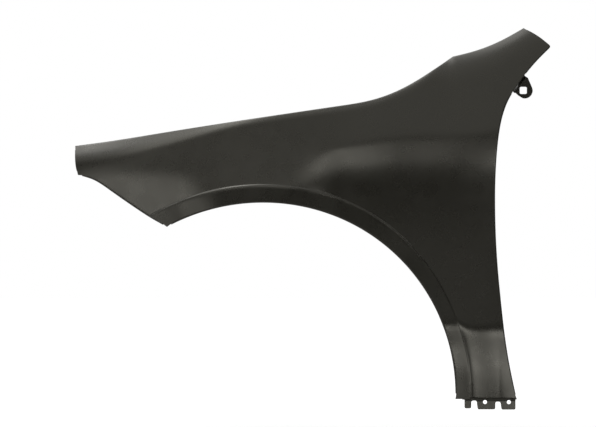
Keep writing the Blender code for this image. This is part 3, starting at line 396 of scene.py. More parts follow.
def top_height(x):
    """Height of the hood line, windscreen edge or tip at a place along the car."""
    return np.interp(x, TOP_LINE[:, 0], TOP_LINE[:, 1])


def roll_height(x):
    """The top line, run straight on behind the windscreen corner, where the tip isn't rolled."""
    before, corner = WINDSCREEN[-2:]
    slope = (corner[1] - before[1]) / (corner[0] - before[0])
    straight = corner[1] + slope * (x - corner[0])
    return np.where(x > corner[0], straight, top_height(x))


class Skin:
    """Formulas of the fender's outer skin, from the sizes of a scene."""

    def __init__(self, sizes):
        self.sizes = sizes

    def arch_radius(self, angle):
        """Radius of the arch edge: tightest at one angle, opening out towards both ends."""
        ahead = np.maximum(angle - TIGHTEST_ANGLE, 0) / ARCH_FRONT_SPREAD
        behind = np.maximum(TIGHTEST_ANGLE - angle, 0) / ARCH_REAR_SPREAD
        opening = ARCH_FRONT_OPENING * ahead**ARCH_FRONT_POWER + ARCH_REAR_OPENING * behind**2
        return self.sizes.arch_radius * (1 + opening)

    def outside_arch(self, x, z):
        """How far a point of the side view lies outside the arch edge."""
        return np.hypot(x, z) - self.arch_radius(np.arctan2(z, x))

    def lip_share(self, angle):
        """1 on the front and top of the lip, 0 low on the rear leg."""
        return ease((angle - LIP_REAR_ANGLE) / (LIP_TOP_ANGLE - LIP_REAR_ANGLE))

    def lip_width(self, angle):
        """Width of the lip, which goes from its rear to its top width."""
        return LIP_WIDTH_REAR + (LIP_WIDTH_TOP - LIP_WIDTH_REAR) * self.lip_share(angle)

    def lip_height(self, angle, share):
        """How proud the lip stands at a share of its width: full height, then the ledge."""
        top, rear = self.sizes.lip_height_top, self.sizes.lip_height_rear
        full = rear + (top - rear) * self.lip_share(angle)
        return full * (1 - ease((share - LEDGE_START) / (LEDGE_END - LEDGE_START)))

    def body_depth(self, x, z):
        """Depth of the skin without its lip, inboard of the widest plane.

        Sum of the turn-in towards both ends, a lean that grows rearwards, softened ramps under
        the shoulder and nose lines, a fairing over the arch, the tuck and flare of the leg, and
        ramps that roll the skin over the top line and the door edge.
        """
        ahead = np.maximum(CROWN_SETBACK - x, 0) / (CROWN_SETBACK + WHEEL_SETBACK)
        behind = np.maximum(x - CROWN_SETBACK, 0) / (LENGTH - WHEEL_SETBACK - CROWN_SETBACK)
        depth = FRONT_TURN_IN * ahead**FRONT_TURN_POWER + REAR_TURN_IN * behind**2
        rearness = ease((x - LEAN_CHANGE_START) / LEAN_CHANGE_LENGTH)
        lean = LEAN_FRONT + (LEAN_REAR - LEAN_FRONT) * rearness
        level = LEAN_LEVEL_FRONT + (LEAN_LEVEL_REAR - LEAN_LEVEL_FRONT) * rearness
        depth = depth + lean * (z - level)

        line = np.interp(x, SHOULDER[:, 0], SHOULDER[:, 1])
        present = ease((x - SHOULDER_FADE_START) / SHOULDER_FADE_LENGTH)
        softness = SHOULDER_SHARPNESS + SHOULDER_SOFTENING * (1 - present)
        depth = depth + SHOULDER_STEP * present * ramp(line - z, softness)
        depth = depth + HOLLOW_LEAN * present * ramp(line - HOLLOW_DROP - z, HOLLOW_LENGTH)
        nose = ease((NOSE_FADE_START - x) / NOSE_FADE_LENGTH)
        depth = depth + NOSE_STEP * nose * ramp(NOSE_LINE_HEIGHT - z, NOSE_EASE_LENGTH)

        out = np.maximum(self.outside_arch(x, z), 0)
        fairing = np.exp(-(((x - FAIRING_SETBACK) / FAIRING_SPREAD) ** 2) - out / FAIRING_REACH)
        depth = depth + FAIRING_DEPTH * fairing
        leg = ease(x / LEG_FADE_LENGTH)
        flare_line = FLARE_HEIGHT + FLARE_LIP_RISE * np.exp(-out / FLARE_LIP_REACH)
        depth = depth + TUCK_LEAN * leg * ramp(TUCK_HEIGHT - z, TUCK_LENGTH)
        depth = depth - FLARE_LEAN * leg * ramp(flare_line - z, FLARE_SHARPNESS)
        depth = depth + FLARE_END_LEAN * leg * ramp(FLARE_END_HEIGHT - z, FLARE_END_LENGTH)

        middle = ease((x + WHEEL_SETBACK) / WHEEL_SETBACK)
        rear = ease((x - HOOD[-2, 0]) / (HOOD[-1, 0] - HOOD[-2, 0]))
        width = ROLL_WIDTH_FRONT + (ROLL_WIDTH_MIDDLE - ROLL_WIDTH_FRONT) * middle
        width = width + (ROLL_WIDTH_WINDSCREEN - ROLL_WIDTH_MIDDLE) * rear
        roll = ROLL_LEAN_FRONT + (ROLL_LEAN_MIDDLE - ROLL_LEAN_FRONT) * middle
        roll = roll + (ROLL_LEAN_WINDSCREEN - ROLL_LEAN_MIDDLE) * rear
        soft = ROLL_SOFT_SHARE + (ROLL_SOFT_SHARE_WINDSCREEN - ROLL_SOFT_SHARE) * rear
        depth = depth + roll * ramp(width - roll_height(x) + z, soft * width)
        door = np.interp(z, DOOR_LINE[:, 1], DOOR_LINE[:, 0])
        low = ease((DOOR_LEAN_HEIGHT - z) / DOOR_LEAN_LENGTH)
        roll = DOOR_LEAN_HIGH + (DOOR_LEAN_LOW - DOOR_LEAN_HIGH) * low
        return depth + roll * ramp(x - door + DOOR_ROLL_WIDTH, DOOR_ROLL_LENGTH)

    def on_skin(self, points):
        """Side-view points with the body's depth."""
        depth = self.body_depth(points[..., 0], points[..., 1])
        return np.stack((points[..., 0], depth, points[..., 1]), axis=-1)

    def lip_depth(self, angle, offset):
        """Depth on the lip, which holds the level of its ledge nearly up to the arch edge.

        It is the body's depth there, less the lip's height, and less a lean that grows towards
        the arch edge and is there only between the angles of the rear leg.
        """
        width = self.lip_width(angle)
        ledge = LEDGE_END * width
        held = np.where(offset > ledge, offset, ledge + (offset - ledge) * LIP_LEVEL_SHARE)
        radius = self.arch_radius(angle) + held
        depth = self.body_depth(radius * np.cos(angle), radius * np.sin(angle))
        leaning = ease((LEAN_ANGLES[3] - angle) / (LEAN_ANGLES[3] - LEAN_ANGLES[2]))
        leaning = leaning * ease((angle - LEAN_ANGLES[0]) / (LEAN_ANGLES[1] - LEAN_ANGLES[0]))
        depth = depth - LIP_LEAN * leaning * np.maximum(ledge - offset, 0)
        return depth - self.lip_height(angle, offset / width)

    def lean_across(self, points, outward):
        """Angle at which the skin leans inboard on the way out over an edge."""
        inside = points - outward * EDGE_BEND
        rise = self.body_depth(*points.T) - self.body_depth(*inside.T)
        return np.arctan2(rise, EDGE_BEND)

    def set_in(self, points, outward, radius):
        """Move an outline inwards, so that the bend outside it ends on the true outline."""
        radius = np.broadcast_to(radius, len(points))[:, None]
        lean = self.lean_across(points - outward * radius, outward)[:, None]
        return points - outward * radius * (1 - np.sin(lean))

    def pad_floor(self, place):
        """Height of the flat floor of a bolt pad."""
        return float(top_height(place)) - WALL_FRONT - HOOD_BEND - PAD_DROP

    def pad_hole_depth(self, place):
        """How far inboard the middle of a pad's bolt hole lies."""
        skin = float(self.body_depth(place, top_height(place)))
        return skin + 2 * HOOD_BEND + PAD_HOLE_SHARE * (SHELF_FRONT + PAD_EXTRA)

    def origin(self):
        """The row's origin: ahead of a bolt hole, on the underside of the middle pad."""
        place = PAD_PLACES[ORIGIN_PAD]
        floor = self.pad_floor(place) - self.sizes.sheet_thickness
        return np.array((place - ORIGIN_AHEAD, self.pad_hole_depth(place), floor))


def hood_stations():
    """Stations along the hood line, with one at every edge of a pad and its slopes."""
    total = np.linalg.norm(np.diff(HOOD, axis=0), axis=1).sum()
    flat = (PAD_LENGTH - PAD_RAMP) / 2
    reaches = np.array((-flat - PAD_RAMP, -flat, flat, flat + PAD_RAMP))
    edges = (np.array(PAD_PLACES)[:, None] + reaches).ravel()
    marks = np.interp(edges, spline(HOOD, FINE)[:, 0], FINE)
    marks = np.concatenate(((0.0, CORNER_RELIEF / total), marks, (WAIST_HOOD,)))
    steps = np.maximum(1, np.ceil(np.diff(marks) * total / HOOD_STEP)).astype(int)
    steps[0] = 1
    parts = [np.linspace(a, b, n, endpoint=False) for a, b, n in zip(marks, marks[1:], steps)]
    return np.append(np.concatenate(parts), WAIST_HOOD)


def relief(edge):
    """The corner relief as a share of an edge's straight length."""
    return CORNER_RELIEF / np.linalg.norm(edge[-1] - edge[0])


def bend_sizes(line, stops, reliefs, full):
    """Radius of the fold along a line, and the share of it that the skin stands back.

    Both follow the distance along the line to the nearest stop of the fold, less the relief
    there: the radius grows from tight to full over the fade, and the share falls to 0 at the
    stop, so that the outline runs on smoothly past it.
    """
    way = np.append(0.0, np.cumsum(np.linalg.norm(np.diff(line, axis=0), axis=1)))
    places = np.interp(stops, np.arange(len(line)), way)
    past = np.abs(way[:, None] - places) - np.array(reliefs)
    nearest = past.min(axis=1)
    radius = TIGHT_BEND + (full - TIGHT_BEND) * np.clip(nearest / BEND_FADE, 0, 1)
    share = np.clip(1 + past / np.array(reliefs), 0, 1).min(axis=1)
    return radius, share


def outer_outline(fine):
    """The top and rear outline, column by column, and the columns of its waist and its tip.

    The waist's column lies on the hood line, and the tip's is where the windscreen edge ends.
    """
    tip_end = 1 - relief(TIP) * TIP_CORNER / CORNER_RELIEF
    door_start = relief(DOOR) * TIP_CORNER / CORNER_RELIEF
    hood = hood_stations()
    hood_columns = len(hood) - 1
    kink = np.linspace(WAIST_HOOD, 1, KINK_COLUMNS + 1)
    top = spline(HOOD, refined(np.append(hood, kink[1:]), fine))
    stations = np.append(np.linspace(0, 1 - relief(WINDSCREEN), SIDE_COLUMNS - KINK_COLUMNS), 1)
    windscreen = spline(WINDSCREEN, refined(stations, fine))
    tip = spline(TIP, refined(np.append(0, np.linspace(relief(TIP), tip_end, TIP_COLUMNS)), fine))
    ear_gap = relief(DOOR) * EAR_RELIEF / CORNER_RELIEF
    head = np.linspace(door_start, EAR_ROOT[0] - ear_gap, HEAD_COLUMNS)
    ear = np.linspace(*EAR_ROOT, EAR_COLUMNS + 1)
    neck = np.linspace(EAR_ROOT[1] + ear_gap, WAIST_DOOR, NECK_COLUMNS)
    rest = np.linspace(WAIST_DOOR, 1 - relief(DOOR), DOOR_COLUMNS)
    door = spline(DOOR, refined(np.concatenate((head, ear, neck, rest[1:], (1,))), fine))
    share = np.linspace(0, 1, CORNER_COLUMNS * fine + 1)[:, None]
    corner = (1 - share) ** 2 * tip[-1] + 2 * share * (1 - share) * TIP[-1] + share**2 * door[0]
    points = np.vstack((top, windscreen[1:], tip[1:], corner[1:], door[1:]))
    return points, hood_columns * fine, (hood_columns + SIDE_COLUMNS) * fine


def blend_patch(inner, outer, side_front, side_rear, shares, fade):
    """Grid between an inner and an outer line, bent to follow two side lines.

    Each point is the straight mix of the two lines, plus each side line's departure from its
    own chord, weighted by a power of the way across from the other side.
    """
    across = chord_shares(inner)[None, :, None]
    out = shares[:, None, None]
    patch = (1 - out) * inner[None] + out * outer[None]
    for side, weight in ((side_front, (1 - across) ** fade), (side_rear, across**fade)):
        chord = side[0] + shares[:, None] * (side[-1] - side[0])
        patch = patch + weight * (side - chord)[:, None]
    return patch


def lip_rows(skin, along, cut_line, sill_line, radius, share, fine):
    """Grid of the lip: offsets from the arch edge by shares of its width, over the arch's angle."""
    shares = refined(LIP_SHARES, fine)
    ends = []
    for line, width in ((cut_line, LIP_WIDTH_TOP), (sill_line, LIP_WIDTH_REAR)):
        out = skin.outside_arch(*line.T)
        x, z = (np.interp(shares * width, out, line[:, k]) for k in range(2))
        ends.append(np.arctan2(z, x))
    angle = ends[0][:, None] + along[None] * (ends[1] - ends[0])[:, None]
    bend = (radius * share)[None] * np.maximum(0, 1 - shares[:, None] / LIP_SHARES[1])
    offset = shares[:, None] * skin.lip_width(angle) + bend
    radius = skin.arch_radius(angle) + offset
    depth = skin.lip_depth(angle, offset)
    return np.stack((radius * np.cos(angle), depth, radius * np.sin(angle)), axis=-1)


def arch_line(skin, along, cut_line, sill_line):
    """The true arch edge at the columns, between the bumper cut and the sill end."""
    ends = []
    for line in (cut_line, sill_line):
        x, z = (np.interp(0, skin.outside_arch(*line.T), line[:, k]) for k in range(2))
        ends.append(math.atan2(z, x))
    angle = ends[0] + along * (ends[1] - ends[0])
    return skin.arch_radius(angle)[:, None] * np.stack((np.cos(angle), np.sin(angle)), axis=1)


def front_side(skin, start, cut_line, front_line, fine):
    """Points up the bumper cut from the lip and on up the front edge, one for each body row."""
    start = skin.outside_arch(*start)
    start = float(np.interp(start, skin.outside_arch(*cut_line.T), FINE))
    gap = relief(BUMPER)
    up_cut = start + (1 - gap - start) * spaced(NOSE_ROW - 1)
    gap = relief(FRONT)
    up_front = np.linspace(gap, 1 - gap, MAIN_ROWS - 1 - NOSE_ROW)
    up_cut = refined(np.append(up_cut, 1), fine)
    up_front = refined(np.concatenate(((0,), up_front, (1,))), fine)
    cut, front = (
        np.stack([np.interp(along, FINE, line[:, k]) for k in range(2)], axis=1)
        for line, along in ((cut_line, up_cut), (front_line, up_front))
    )
    return np.vstack((cut, front[1:]))


def bent_line(skin, curve, stops):
    """A curve of the outline set in for its bend, but running out to the corners at the stops."""
    radius, share = bend_sizes(curve, stops, [CORNER_RELIEF] * len(stops), EDGE_BEND)
    line = skin.set_in(curve, side_normals(curve, 1), radius)
    return curve + (line - curve) * share[:, None]


class Sheet:
    """Points and faces that grow part by part: the open sheet, or the prisms that cut it."""

    def __init__(self):
        self.points = np.zeros((0, 3))
        self.faces = []

    def add(self, rows):
        """Store rows of points and return their numbers in the same layout."""
        first = len(self.points)
        self.points = np.vstack((self.points, rows.reshape(-1, 3)))
        return np.arange(first, len(self.points)).reshape(rows.shape[:2])

    def fill(self, ids):
        """Quads between neighbouring rows and columns of point numbers."""
        corners = (ids[:-1, :-1], ids[:-1, 1:], ids[1:, 1:], ids[1:, :-1])
        self.faces += np.stack(corners, axis=-1).reshape(-1, 4).tolist()

    def mesh(self, name, origin):
        """All of it as a mesh, with its points measured from an origin."""
        mesh = bpy.data.meshes.new(name)
        mesh.from_pydata((self.points - origin).tolist(), [], self.faces)
        mesh.update()
        return mesh


def fold(edge, outward, start, moves):
    """Rows that a folded edge adds outside an edge of the skin.

    The fold is a profile of arcs (radius, end angle, steps) and straight runs (length, None,
    steps), carried along the edge: each row is the edge moved outwards in the side view by the
    profile's run and inboard by its rise.
    """
    angle = np.asarray(start, float)
    place = np.zeros((2, len(edge)))
    rows = []
    for size, end, steps in moves:
        share = np.arange(1, steps + 1)[:, None] / steps
        if end is None:
            way = size * np.stack((np.cos(angle), np.sin(angle)))
            path = place[:, None] + way[:, None] * share
        else:
            turn = np.sign(end - angle)
            centre = place + turn * size * np.stack((-np.sin(angle), np.cos(angle)))
            swept = angle + (end - angle) * share
            path = centre[:, None] + turn * size * np.stack((np.sin(swept), -np.cos(swept)))
            angle = np.full_like(angle, end)
        rows.append(path)
        place = path[:, -1]
    out, inboard = np.concatenate(rows, axis=1)
    moved = np.stack((outward[:, 0] * out, inboard, outward[:, 1] * out), axis=-1)
    return edge + moved


def hood_fold(skin, edge, outward, lean, radius):
    """Gutter wall and bolt shelf along the hood line, with level pads, fading to the windscreen."""
    x = edge[:, 0]
    rear = ease((x - HOOD[-3, 0]) / (HOOD[-1, 0] - HOOD[-3, 0]))
    wall = WALL_FRONT + (WALL_REAR - WALL_FRONT) * rear
    shelf = SHELF_FRONT + (SHELF_REAR - SHELF_FRONT) * rear
    levels = [bump(x - place, PAD_LENGTH - PAD_RAMP, PAD_RAMP) for place in PAD_PLACES]
    shelf = shelf + PAD_EXTRA * sum(levels)
    arc = BEND_STEPS // 2 + 1
    rows = fold(edge, outward, lean, (
        (radius, math.pi - WALL_LEAN, BEND_STEPS + 1),
        (wall, None, WALL_STEPS),
        (HOOD_BEND, math.pi / 2, arc),
        (shelf, None, SHELF_STEPS),
    ))
    first = len(rows) - SHELF_STEPS - arc
    share = np.minimum(1, np.arange(1, arc + SHELF_STEPS + 1) / arc)[:, None]
    for place, level in zip(PAD_PLACES, levels):
        drop = level * (skin.pad_floor(place) - rows[-1, :, 2])
        rows[first:, :, 2] += share * drop
    return rows


def arch_fold(skin, edge, outward, lean, radius):
    """Turned-in flange of the arch, deeper at its fastener tabs."""
    angle = np.arctan2(edge[:, 2], edge[:, 0])
    depth = np.full_like(angle, skin.sizes.arch_flange)
    for tab in TAB_ANGLES:
        depth = depth + TAB_DEPTH * bump((angle - tab) * skin.sizes.arch_radius, 0, TAB_WIDTH)
    return return_fold(edge, outward, lean, radius, depth)


def return_fold(edge, outward, lean, radius, depth):
    """Plain return flange along an edge, cut back at its ends with the fading of its bend."""
    kept = (radius - TIGHT_BEND) / (EDGE_BEND - TIGHT_BEND)
    depth = depth * (FLANGE_END + (1 - FLANGE_END) * np.sqrt(kept))
    moves = ((radius, math.pi / 2, BEND_STEPS), (depth, None, FLANGE_STEPS))
    return fold(edge, outward, lean, moves)


def ear_fold(edge, outward, lean, radius):
    """Sloped step and level plate that the bolt ear is trimmed from."""
    rows = fold(edge, outward, lean, (
        (radius, EAR_STEP_ANGLE, BEND_STEPS),
        (EAR_STEP, None, WALL_STEPS),
        (EAR_BEND, 0.0, BEND_STEPS),
        (EAR_REACH, None, PLATE_STEPS),
    ))
    rows[-1 - PLATE_STEPS :, :, 1] = rows[-1, :, 1].mean()
    return rows


def sill_fold(edge):
    """Joggle and flange below the sill end: down in steps, easing over to one plane.

    The plane lies a joggle inboard of the mean edge, turned about its middle, and leans out
    from the foot of the joggle down.
    """
    plane = edge[:, 1].mean() + SILL_JOGGLE + SILL_TURN * (edge[:, 0] - edge[:, 0].mean())
    share = np.arange(1, BEND_STEPS + 1)[None] / BEND_STEPS
    way = np.linspace(0, 1, FOOT_STEPS + 1)[None, 1:] ** 2
    foot = SILL_JOGGLE_HEIGHT + (SILL_DROP + CUT_OVERRUN - SILL_JOGGLE_HEIGHT) * way
    drop = np.concatenate((share * SILL_JOGGLE_HEIGHT, foot), axis=1)
    level = np.concatenate((ease(share), np.ones_like(foot)), axis=1)
    rows = np.repeat(edge[:, None], drop.shape[1], axis=1)
    rows[..., 1] += level * (plane - edge[:, 1])[:, None]
    rows[..., 1] -= SILL_LEAN * np.maximum(drop - SILL_JOGGLE_HEIGHT, 0)
    rows[..., 2] -= drop
    return rows


class Border:
    """The skin's top and rear border, column by column, with the columns where stretches meet.

    It is the outline, set in by its bends, which are wider along the hood and narrower at the
    tip and at the ear.
    """

    def __init__(self, skin, fine):
        outer, self.waist_hood, self.tip_top = outer_outline(fine)
        self.last = len(outer) - 1
        self.head_corner = self.tip_top + (TIP_COLUMNS + CORNER_COLUMNS // 2) * fine
        self.waist_door = self.head_corner + SIDE_COLUMNS * fine
        self.ear = self.tip_top + (TIP_COLUMNS + CORNER_COLUMNS + HEAD_COLUMNS) * fine
        self.ear_end = self.ear + EAR_COLUMNS * fine

        columns = np.arange(self.last + 1)
        full = np.where(columns <= self.tip_top, HOOD_BEND, EDGE_BEND)
        full = np.where((columns > self.tip_top) & (columns < self.ear), TIP_BEND, full)
        full = np.where((columns >= self.ear) & (columns <= self.ear_end), EAR_EDGE_BEND, full)
        stops = (0, self.tip_top, self.ear - fine / 2, self.ear_end + fine / 2, self.last)
        reliefs = (CORNER_RELIEF, CORNER_RELIEF, EAR_RELIEF / 2, EAR_RELIEF / 2, CORNER_RELIEF)
        self.normals = side_normals(outer, 1)
        self.radius, share = bend_sizes(outer, stops, reliefs, full)
        inset = skin.set_in(outer, self.normals, self.radius) - outer
        self.points = outer + share[:, None] * inset


def front_and_sill_lines(skin):
    """The bumper cut and the front edge, set in for their bends, and the straight sill end."""
    cut, front = spline(BUMPER, FINE), spline(FRONT, FINE)
    end = len(FINE) - 1
    lip_end = np.interp(0, skin.outside_arch(*cut.T), np.arange(len(FINE)))
    sill_line = np.stack((FINE * DOOR[-1, 0], np.full(len(FINE), DOOR[-1, 1])), axis=1)
    return bent_line(skin, cut, (lip_end, end)), bent_line(skin, front, (0, end)), sill_line


def skin_grids(skin, border, fine):
    """Grids of the lip, the body above it and the head under the tip, and the arch's bend.

    The waist is the straight line across the neck where the body ends and the head begins.
    """
    cut_line, front_line, sill_line = front_and_sill_lines(skin)
    points, waist_hood, waist_door = border.points, border.waist_hood, border.waist_door
    tip = points[border.tip_top : border.head_corner + 1]
    way = ((spaced(len(tip) - 1) + chord_shares(tip)) / 2)[:, None]
    waist = (1 - way) * points[waist_hood] + way * points[waist_door]
    body_top = np.vstack((points[:waist_hood], waist, points[waist_door + 1 :]))

    angle = np.arctan2(body_top[:, 1], body_top[:, 0])
    even = np.linspace(0, 1, len(body_top))
    along = even + ANGLE_SHARE * ((angle[0] - angle) / (angle[0] - angle[-1]) - even)
    arch = arch_line(skin, along, cut_line, sill_line)
    radius, share = bend_sizes(arch, (0, len(arch) - 1), [CORNER_RELIEF] * 2, EDGE_BEND)
    lip = lip_rows(skin, along, cut_line, sill_line, radius, share, fine)

    inner = lip[-1][:, [0, 2]]
    shares = refined(spaced(MAIN_ROWS), fine)
    side_front = front_side(skin, inner[0], cut_line, front_line, fine)
    side_rear = inner[-1] + shares[:, None] * (points[-1] - inner[-1])
    body = skin.on_skin(blend_patch(inner, body_top, side_front, side_rear, shares, BODY_FADE))

    hood_side = points[waist_hood : border.tip_top + 1]
    door_side = points[border.head_corner : waist_door + 1][::-1]
    shares = (chord_shares(hood_side) + chord_shares(door_side)) / 2
    head = skin.on_skin(blend_patch(waist, tip, hood_side, door_side, shares, 1))
    return lip, body, head, radius


def add_rim_folds(sheet, skin, border, rim, fine):
    """The folds of the hood, tip, ear and door edges, and the depth of the ear's plate."""

    def grow(first, end, make, *extra):
        """Fold made outside a stretch of the rim, from its first to its end column."""
        part = slice(first, end + 1)
        edge, outward = sheet.points[rim[part]], border.normals[part]
        lean = skin.lean_across(edge[:, [0, 2]], outward)
        rows = make(edge, outward, lean, border.radius[part], *extra)
        sheet.fill(np.vstack((rim[part], sheet.add(rows))))
        return rows

    grow(fine, border.tip_top - fine, lambda *edge: hood_fold(skin, *edge))
    grow(border.tip_top + fine, border.ear - fine, return_fold, TIP_DEPTH)
    ear = grow(border.ear, border.ear_end, ear_fold)
    grow(border.ear_end + fine, border.last - fine, return_fold, skin.sizes.door_flange)
    return float(ear[-1, 0, 1])


def add_arch_fold(sheet, skin, edge_ids, radius, fine):
    """The arch flange, turned in from the first row of the lip."""
    part = slice(fine, -fine)
    line = sheet.points[edge_ids]
    towards_wheel = side_normals(line[:, [0, 2]], -1)[part]
    edge = line[part]
    rows = arch_fold(skin, edge, towards_wheel, np.zeros(len(edge)), radius[part])
    sheet.fill(np.vstack((sheet.add(rows)[::-1], edge_ids[part])))


def add_front_folds(sheet, skin, edge_ids, nose, fine):
    """The bumper flange below the nose corner and the headlamp flange above it."""
    line = sheet.points[edge_ids]
    side, last = line[:, [0, 2]], len(line) - 1
    radius, _ = bend_sizes(side, (0, nose, last), [CORNER_RELIEF] * 3, EDGE_BEND)
    for first, end, depth in (
        (fine, nose - fine, BUMPER_DEPTH),
        (nose + fine, last - fine, FRONT_DEPTH),
    ):
        part = slice(first, end + 1)
        outward = side_normals(side[part], 1)
        lean = skin.lean_across(side[part], outward)
        rows = return_fold(line[part], outward, lean, radius[part], depth)
        sheet.fill(np.hstack((sheet.add(rows)[::-1].T, edge_ids[part, None])))


def add_sill_fold(sheet, edge_ids):
    """The sill flange, from just ahead of its first finger, and the depth of its rear foot."""
    line = sheet.points[edge_ids]
    first = int(np.argmax(line[:, 0] > DOOR[-1, 0] - SILL_FINGERS[0][0])) - 1
    rows = sill_fold(line[first:])
    sheet.fill(np.hstack((edge_ids[first:, None], sheet.add(rows))))
    return float(rows[-1, -1, 1])


def build_sheet(skin, fine):
    """The whole open sheet and the depths of its ear and of its sill flange."""
    border = Border(skin, fine)
    lip, body, head, arch_bend = skin_grids(skin, border, fine)
    sheet = Sheet()
    ids = sheet.add(np.concatenate((lip[:-1], body)))
    sheet.fill(ids)
    waist = slice(border.waist_hood, border.waist_hood + head.shape[1])
    head_ids = np.vstack((ids[-1, waist], sheet.add(head[1:])))
    sheet.fill(head_ids)
    sides = (head_ids[:, 0], head_ids[-1, 1:-1], head_ids[::-1, -1])
    rim = np.concatenate((ids[-1, : waist.start], *sides, ids[-1, waist.stop :]))

    ear_depth = add_rim_folds(sheet, skin, border, rim, fine)
    add_arch_fold(sheet, skin, ids[0], arch_bend, fine)
    add_front_folds(sheet, skin, ids[:, 0], len(lip) - 1 + NOSE_ROW * fine, fine)
    sill_depth = add_sill_fold(sheet, ids[:, -1])
    return sheet, ear_depth, sill_depth


def circle(diameter):
    """Outline of a round hole."""
    angle = np.arange(HOLE_SIDES) * 2 * math.pi / HOLE_SIDES
    return diameter / 2 * np.stack((np.cos(angle), np.sin(angle)), axis=1)


def filleted(corners):
    """Outline with arcs at its corners, each given as x, z and a radius of 0 for a sharp one."""
    corners = np.asarray(corners, float)
    here, radius = corners[:, :2], corners[:, 2]
    ways = [np.roll(here, step, axis=0) - here for step in (1, -1)]
    ways = [way / np.linalg.norm(way, axis=1)[:, None] for way in ways]
    half = np.arccos(np.clip((ways[0] * ways[1]).sum(axis=1), -1, 1)) / 2
    bisector = ways[0] + ways[1]
    bisector = bisector / np.linalg.norm(bisector, axis=1)[:, None]
    centre = here + bisector * (radius / np.sin(half))[:, None]
    start, end = (here + way * (radius / np.tan(half))[:, None] - centre for way in ways)
    turn = (math.pi - 2 * half)[:, None, None]
    share = np.linspace(0, 1, CORNER_POINTS)[None, :, None]
    mix = np.sin((1 - share) * turn) * start[:, None] + np.sin(share * turn) * end[:, None]
    arcs = centre[:, None] + mix / np.sin(turn)
    return np.vstack([arc if round_ else arc[:1] for arc, round_ in zip(arcs, radius > 0)])


def tangent_point(point, centre, radius, side):
    """Where a line from a point touches a circle, on the left (1) or the right (-1) of its way."""
    way = centre - point
    reach = np.linalg.norm(way)
    turn = side * math.acos(radius / reach)
    spin = np.array(((math.cos(turn), -math.sin(turn)), (math.sin(turn), math.cos(turn))))
    return centre + radius * spin @ (-way / reach)


def ear_section():
    """Outline of what is trimmed away around the ear: a round end between straight sides."""
    centre, top, foot = (np.array(point) for point in (EAR_CENTRE, EAR_TOP, EAR_FOOT))
    first = tangent_point(top, centre, EAR_RADIUS, -1)
    last = tangent_point(foot, centre, EAR_RADIUS, 1)
    start, end = (math.atan2(*(point - centre)[::-1]) for point in (first, last))
    sweep = np.linspace(start, end - 2 * math.pi if end > start else end, HOLE_SIDES)
    arc = centre + EAR_RADIUS * np.stack((np.cos(sweep), np.sin(sweep)), axis=1)
    far = EAR_RADIUS + EAR_MARGIN
    outer = np.array((
        (foot[0], foot[1] - EAR_MARGIN),
        (centre[0], centre[1] - far),
        (centre[0] + far + EAR_MARGIN, centre[1] - far),
        (centre[0] + far + EAR_MARGIN, top[1] + EAR_MARGIN),
        (top[0] + EAR_MARGIN, top[1] + EAR_MARGIN),
    ))
    return np.vstack((top, arc, foot, outer))


def sill_section():
    """Outline of what is trimmed away around the fingers of the sill flange."""
    margin, shoulder = SILL_DROP, SILL_SHOULDER
    first, last = SILL_FINGERS[0][0], SILL_FINGERS[-1][1]
    corners = [(first + margin, shoulder, 0), (first, shoulder, 0)]
    for k, (start, end, drop) in enumerate(SILL_FINGERS):
        corners += [(start, drop, SILL_FINGER_CORNER), (end, drop, SILL_FINGER_CORNER)]
        if k < len(SILL_SLOTS):
            start, end, drop = SILL_SLOTS[k]
            corners += [(start, drop, SILL_SLOT_CORNER), (end, drop, SILL_SLOT_CORNER)]
    corners += [(last, shoulder, 0), (-margin, shoulder, 0)]
    corners += [(-margin, 3 * margin, 0), (first + margin, 3 * margin, 0)]
    return filleted([(DOOR[-1, 0] - back, DOOR[-1, 1] - drop, r) for back, drop, r in corners])


def square_section(size, corner):
    """Outline of a square hole with round corners."""
    half = size / 2
    ways = ((1, 1), (-1, 1), (-1, -1), (1, -1))
    return filleted([(half * x, half * z, corner) for x, z in ways])


def add_prism(sheet, section, base, axis, across, reach=CUT_OVERRUN):
    """Closed prism that cuts the sheet: a flat outline swept both ways from base along axis.

    A point of the outline (a, b) goes to base + a across + b (axis x across), less or plus the
    reach along axis. An outline that runs clockwise is turned round first.
    """
    axis, across = np.asarray(axis, float), np.asarray(across, float)
    section = np.asarray(section, float)
    x, y = section.T
    if (x * np.roll(y, -1) - np.roll(x, -1) * y).sum() < 0:
        section = section[::-1]
    flat = np.asarray(base) + section[:, :1] * across + section[:, 1:] * np.cross(axis, across)
    ids = sheet.add(np.stack((flat - axis * reach, flat + axis * reach)))
    low, high = ids
    sides = np.stack((low, np.roll(low, -1), np.roll(high, -1), high), axis=-1)
    sheet.faces += [low[::-1].tolist(), high.tolist(), *sides.tolist()]


def side_cut(sheet, section, depth, reach=CUT_OVERRUN):
    """A cut square through the side view, at a depth."""
    flat = np.asarray(section) * (1, -1)
    add_prism(sheet, flat, (0, depth, 0), (0, 1, 0), (1, 0, 0), reach)


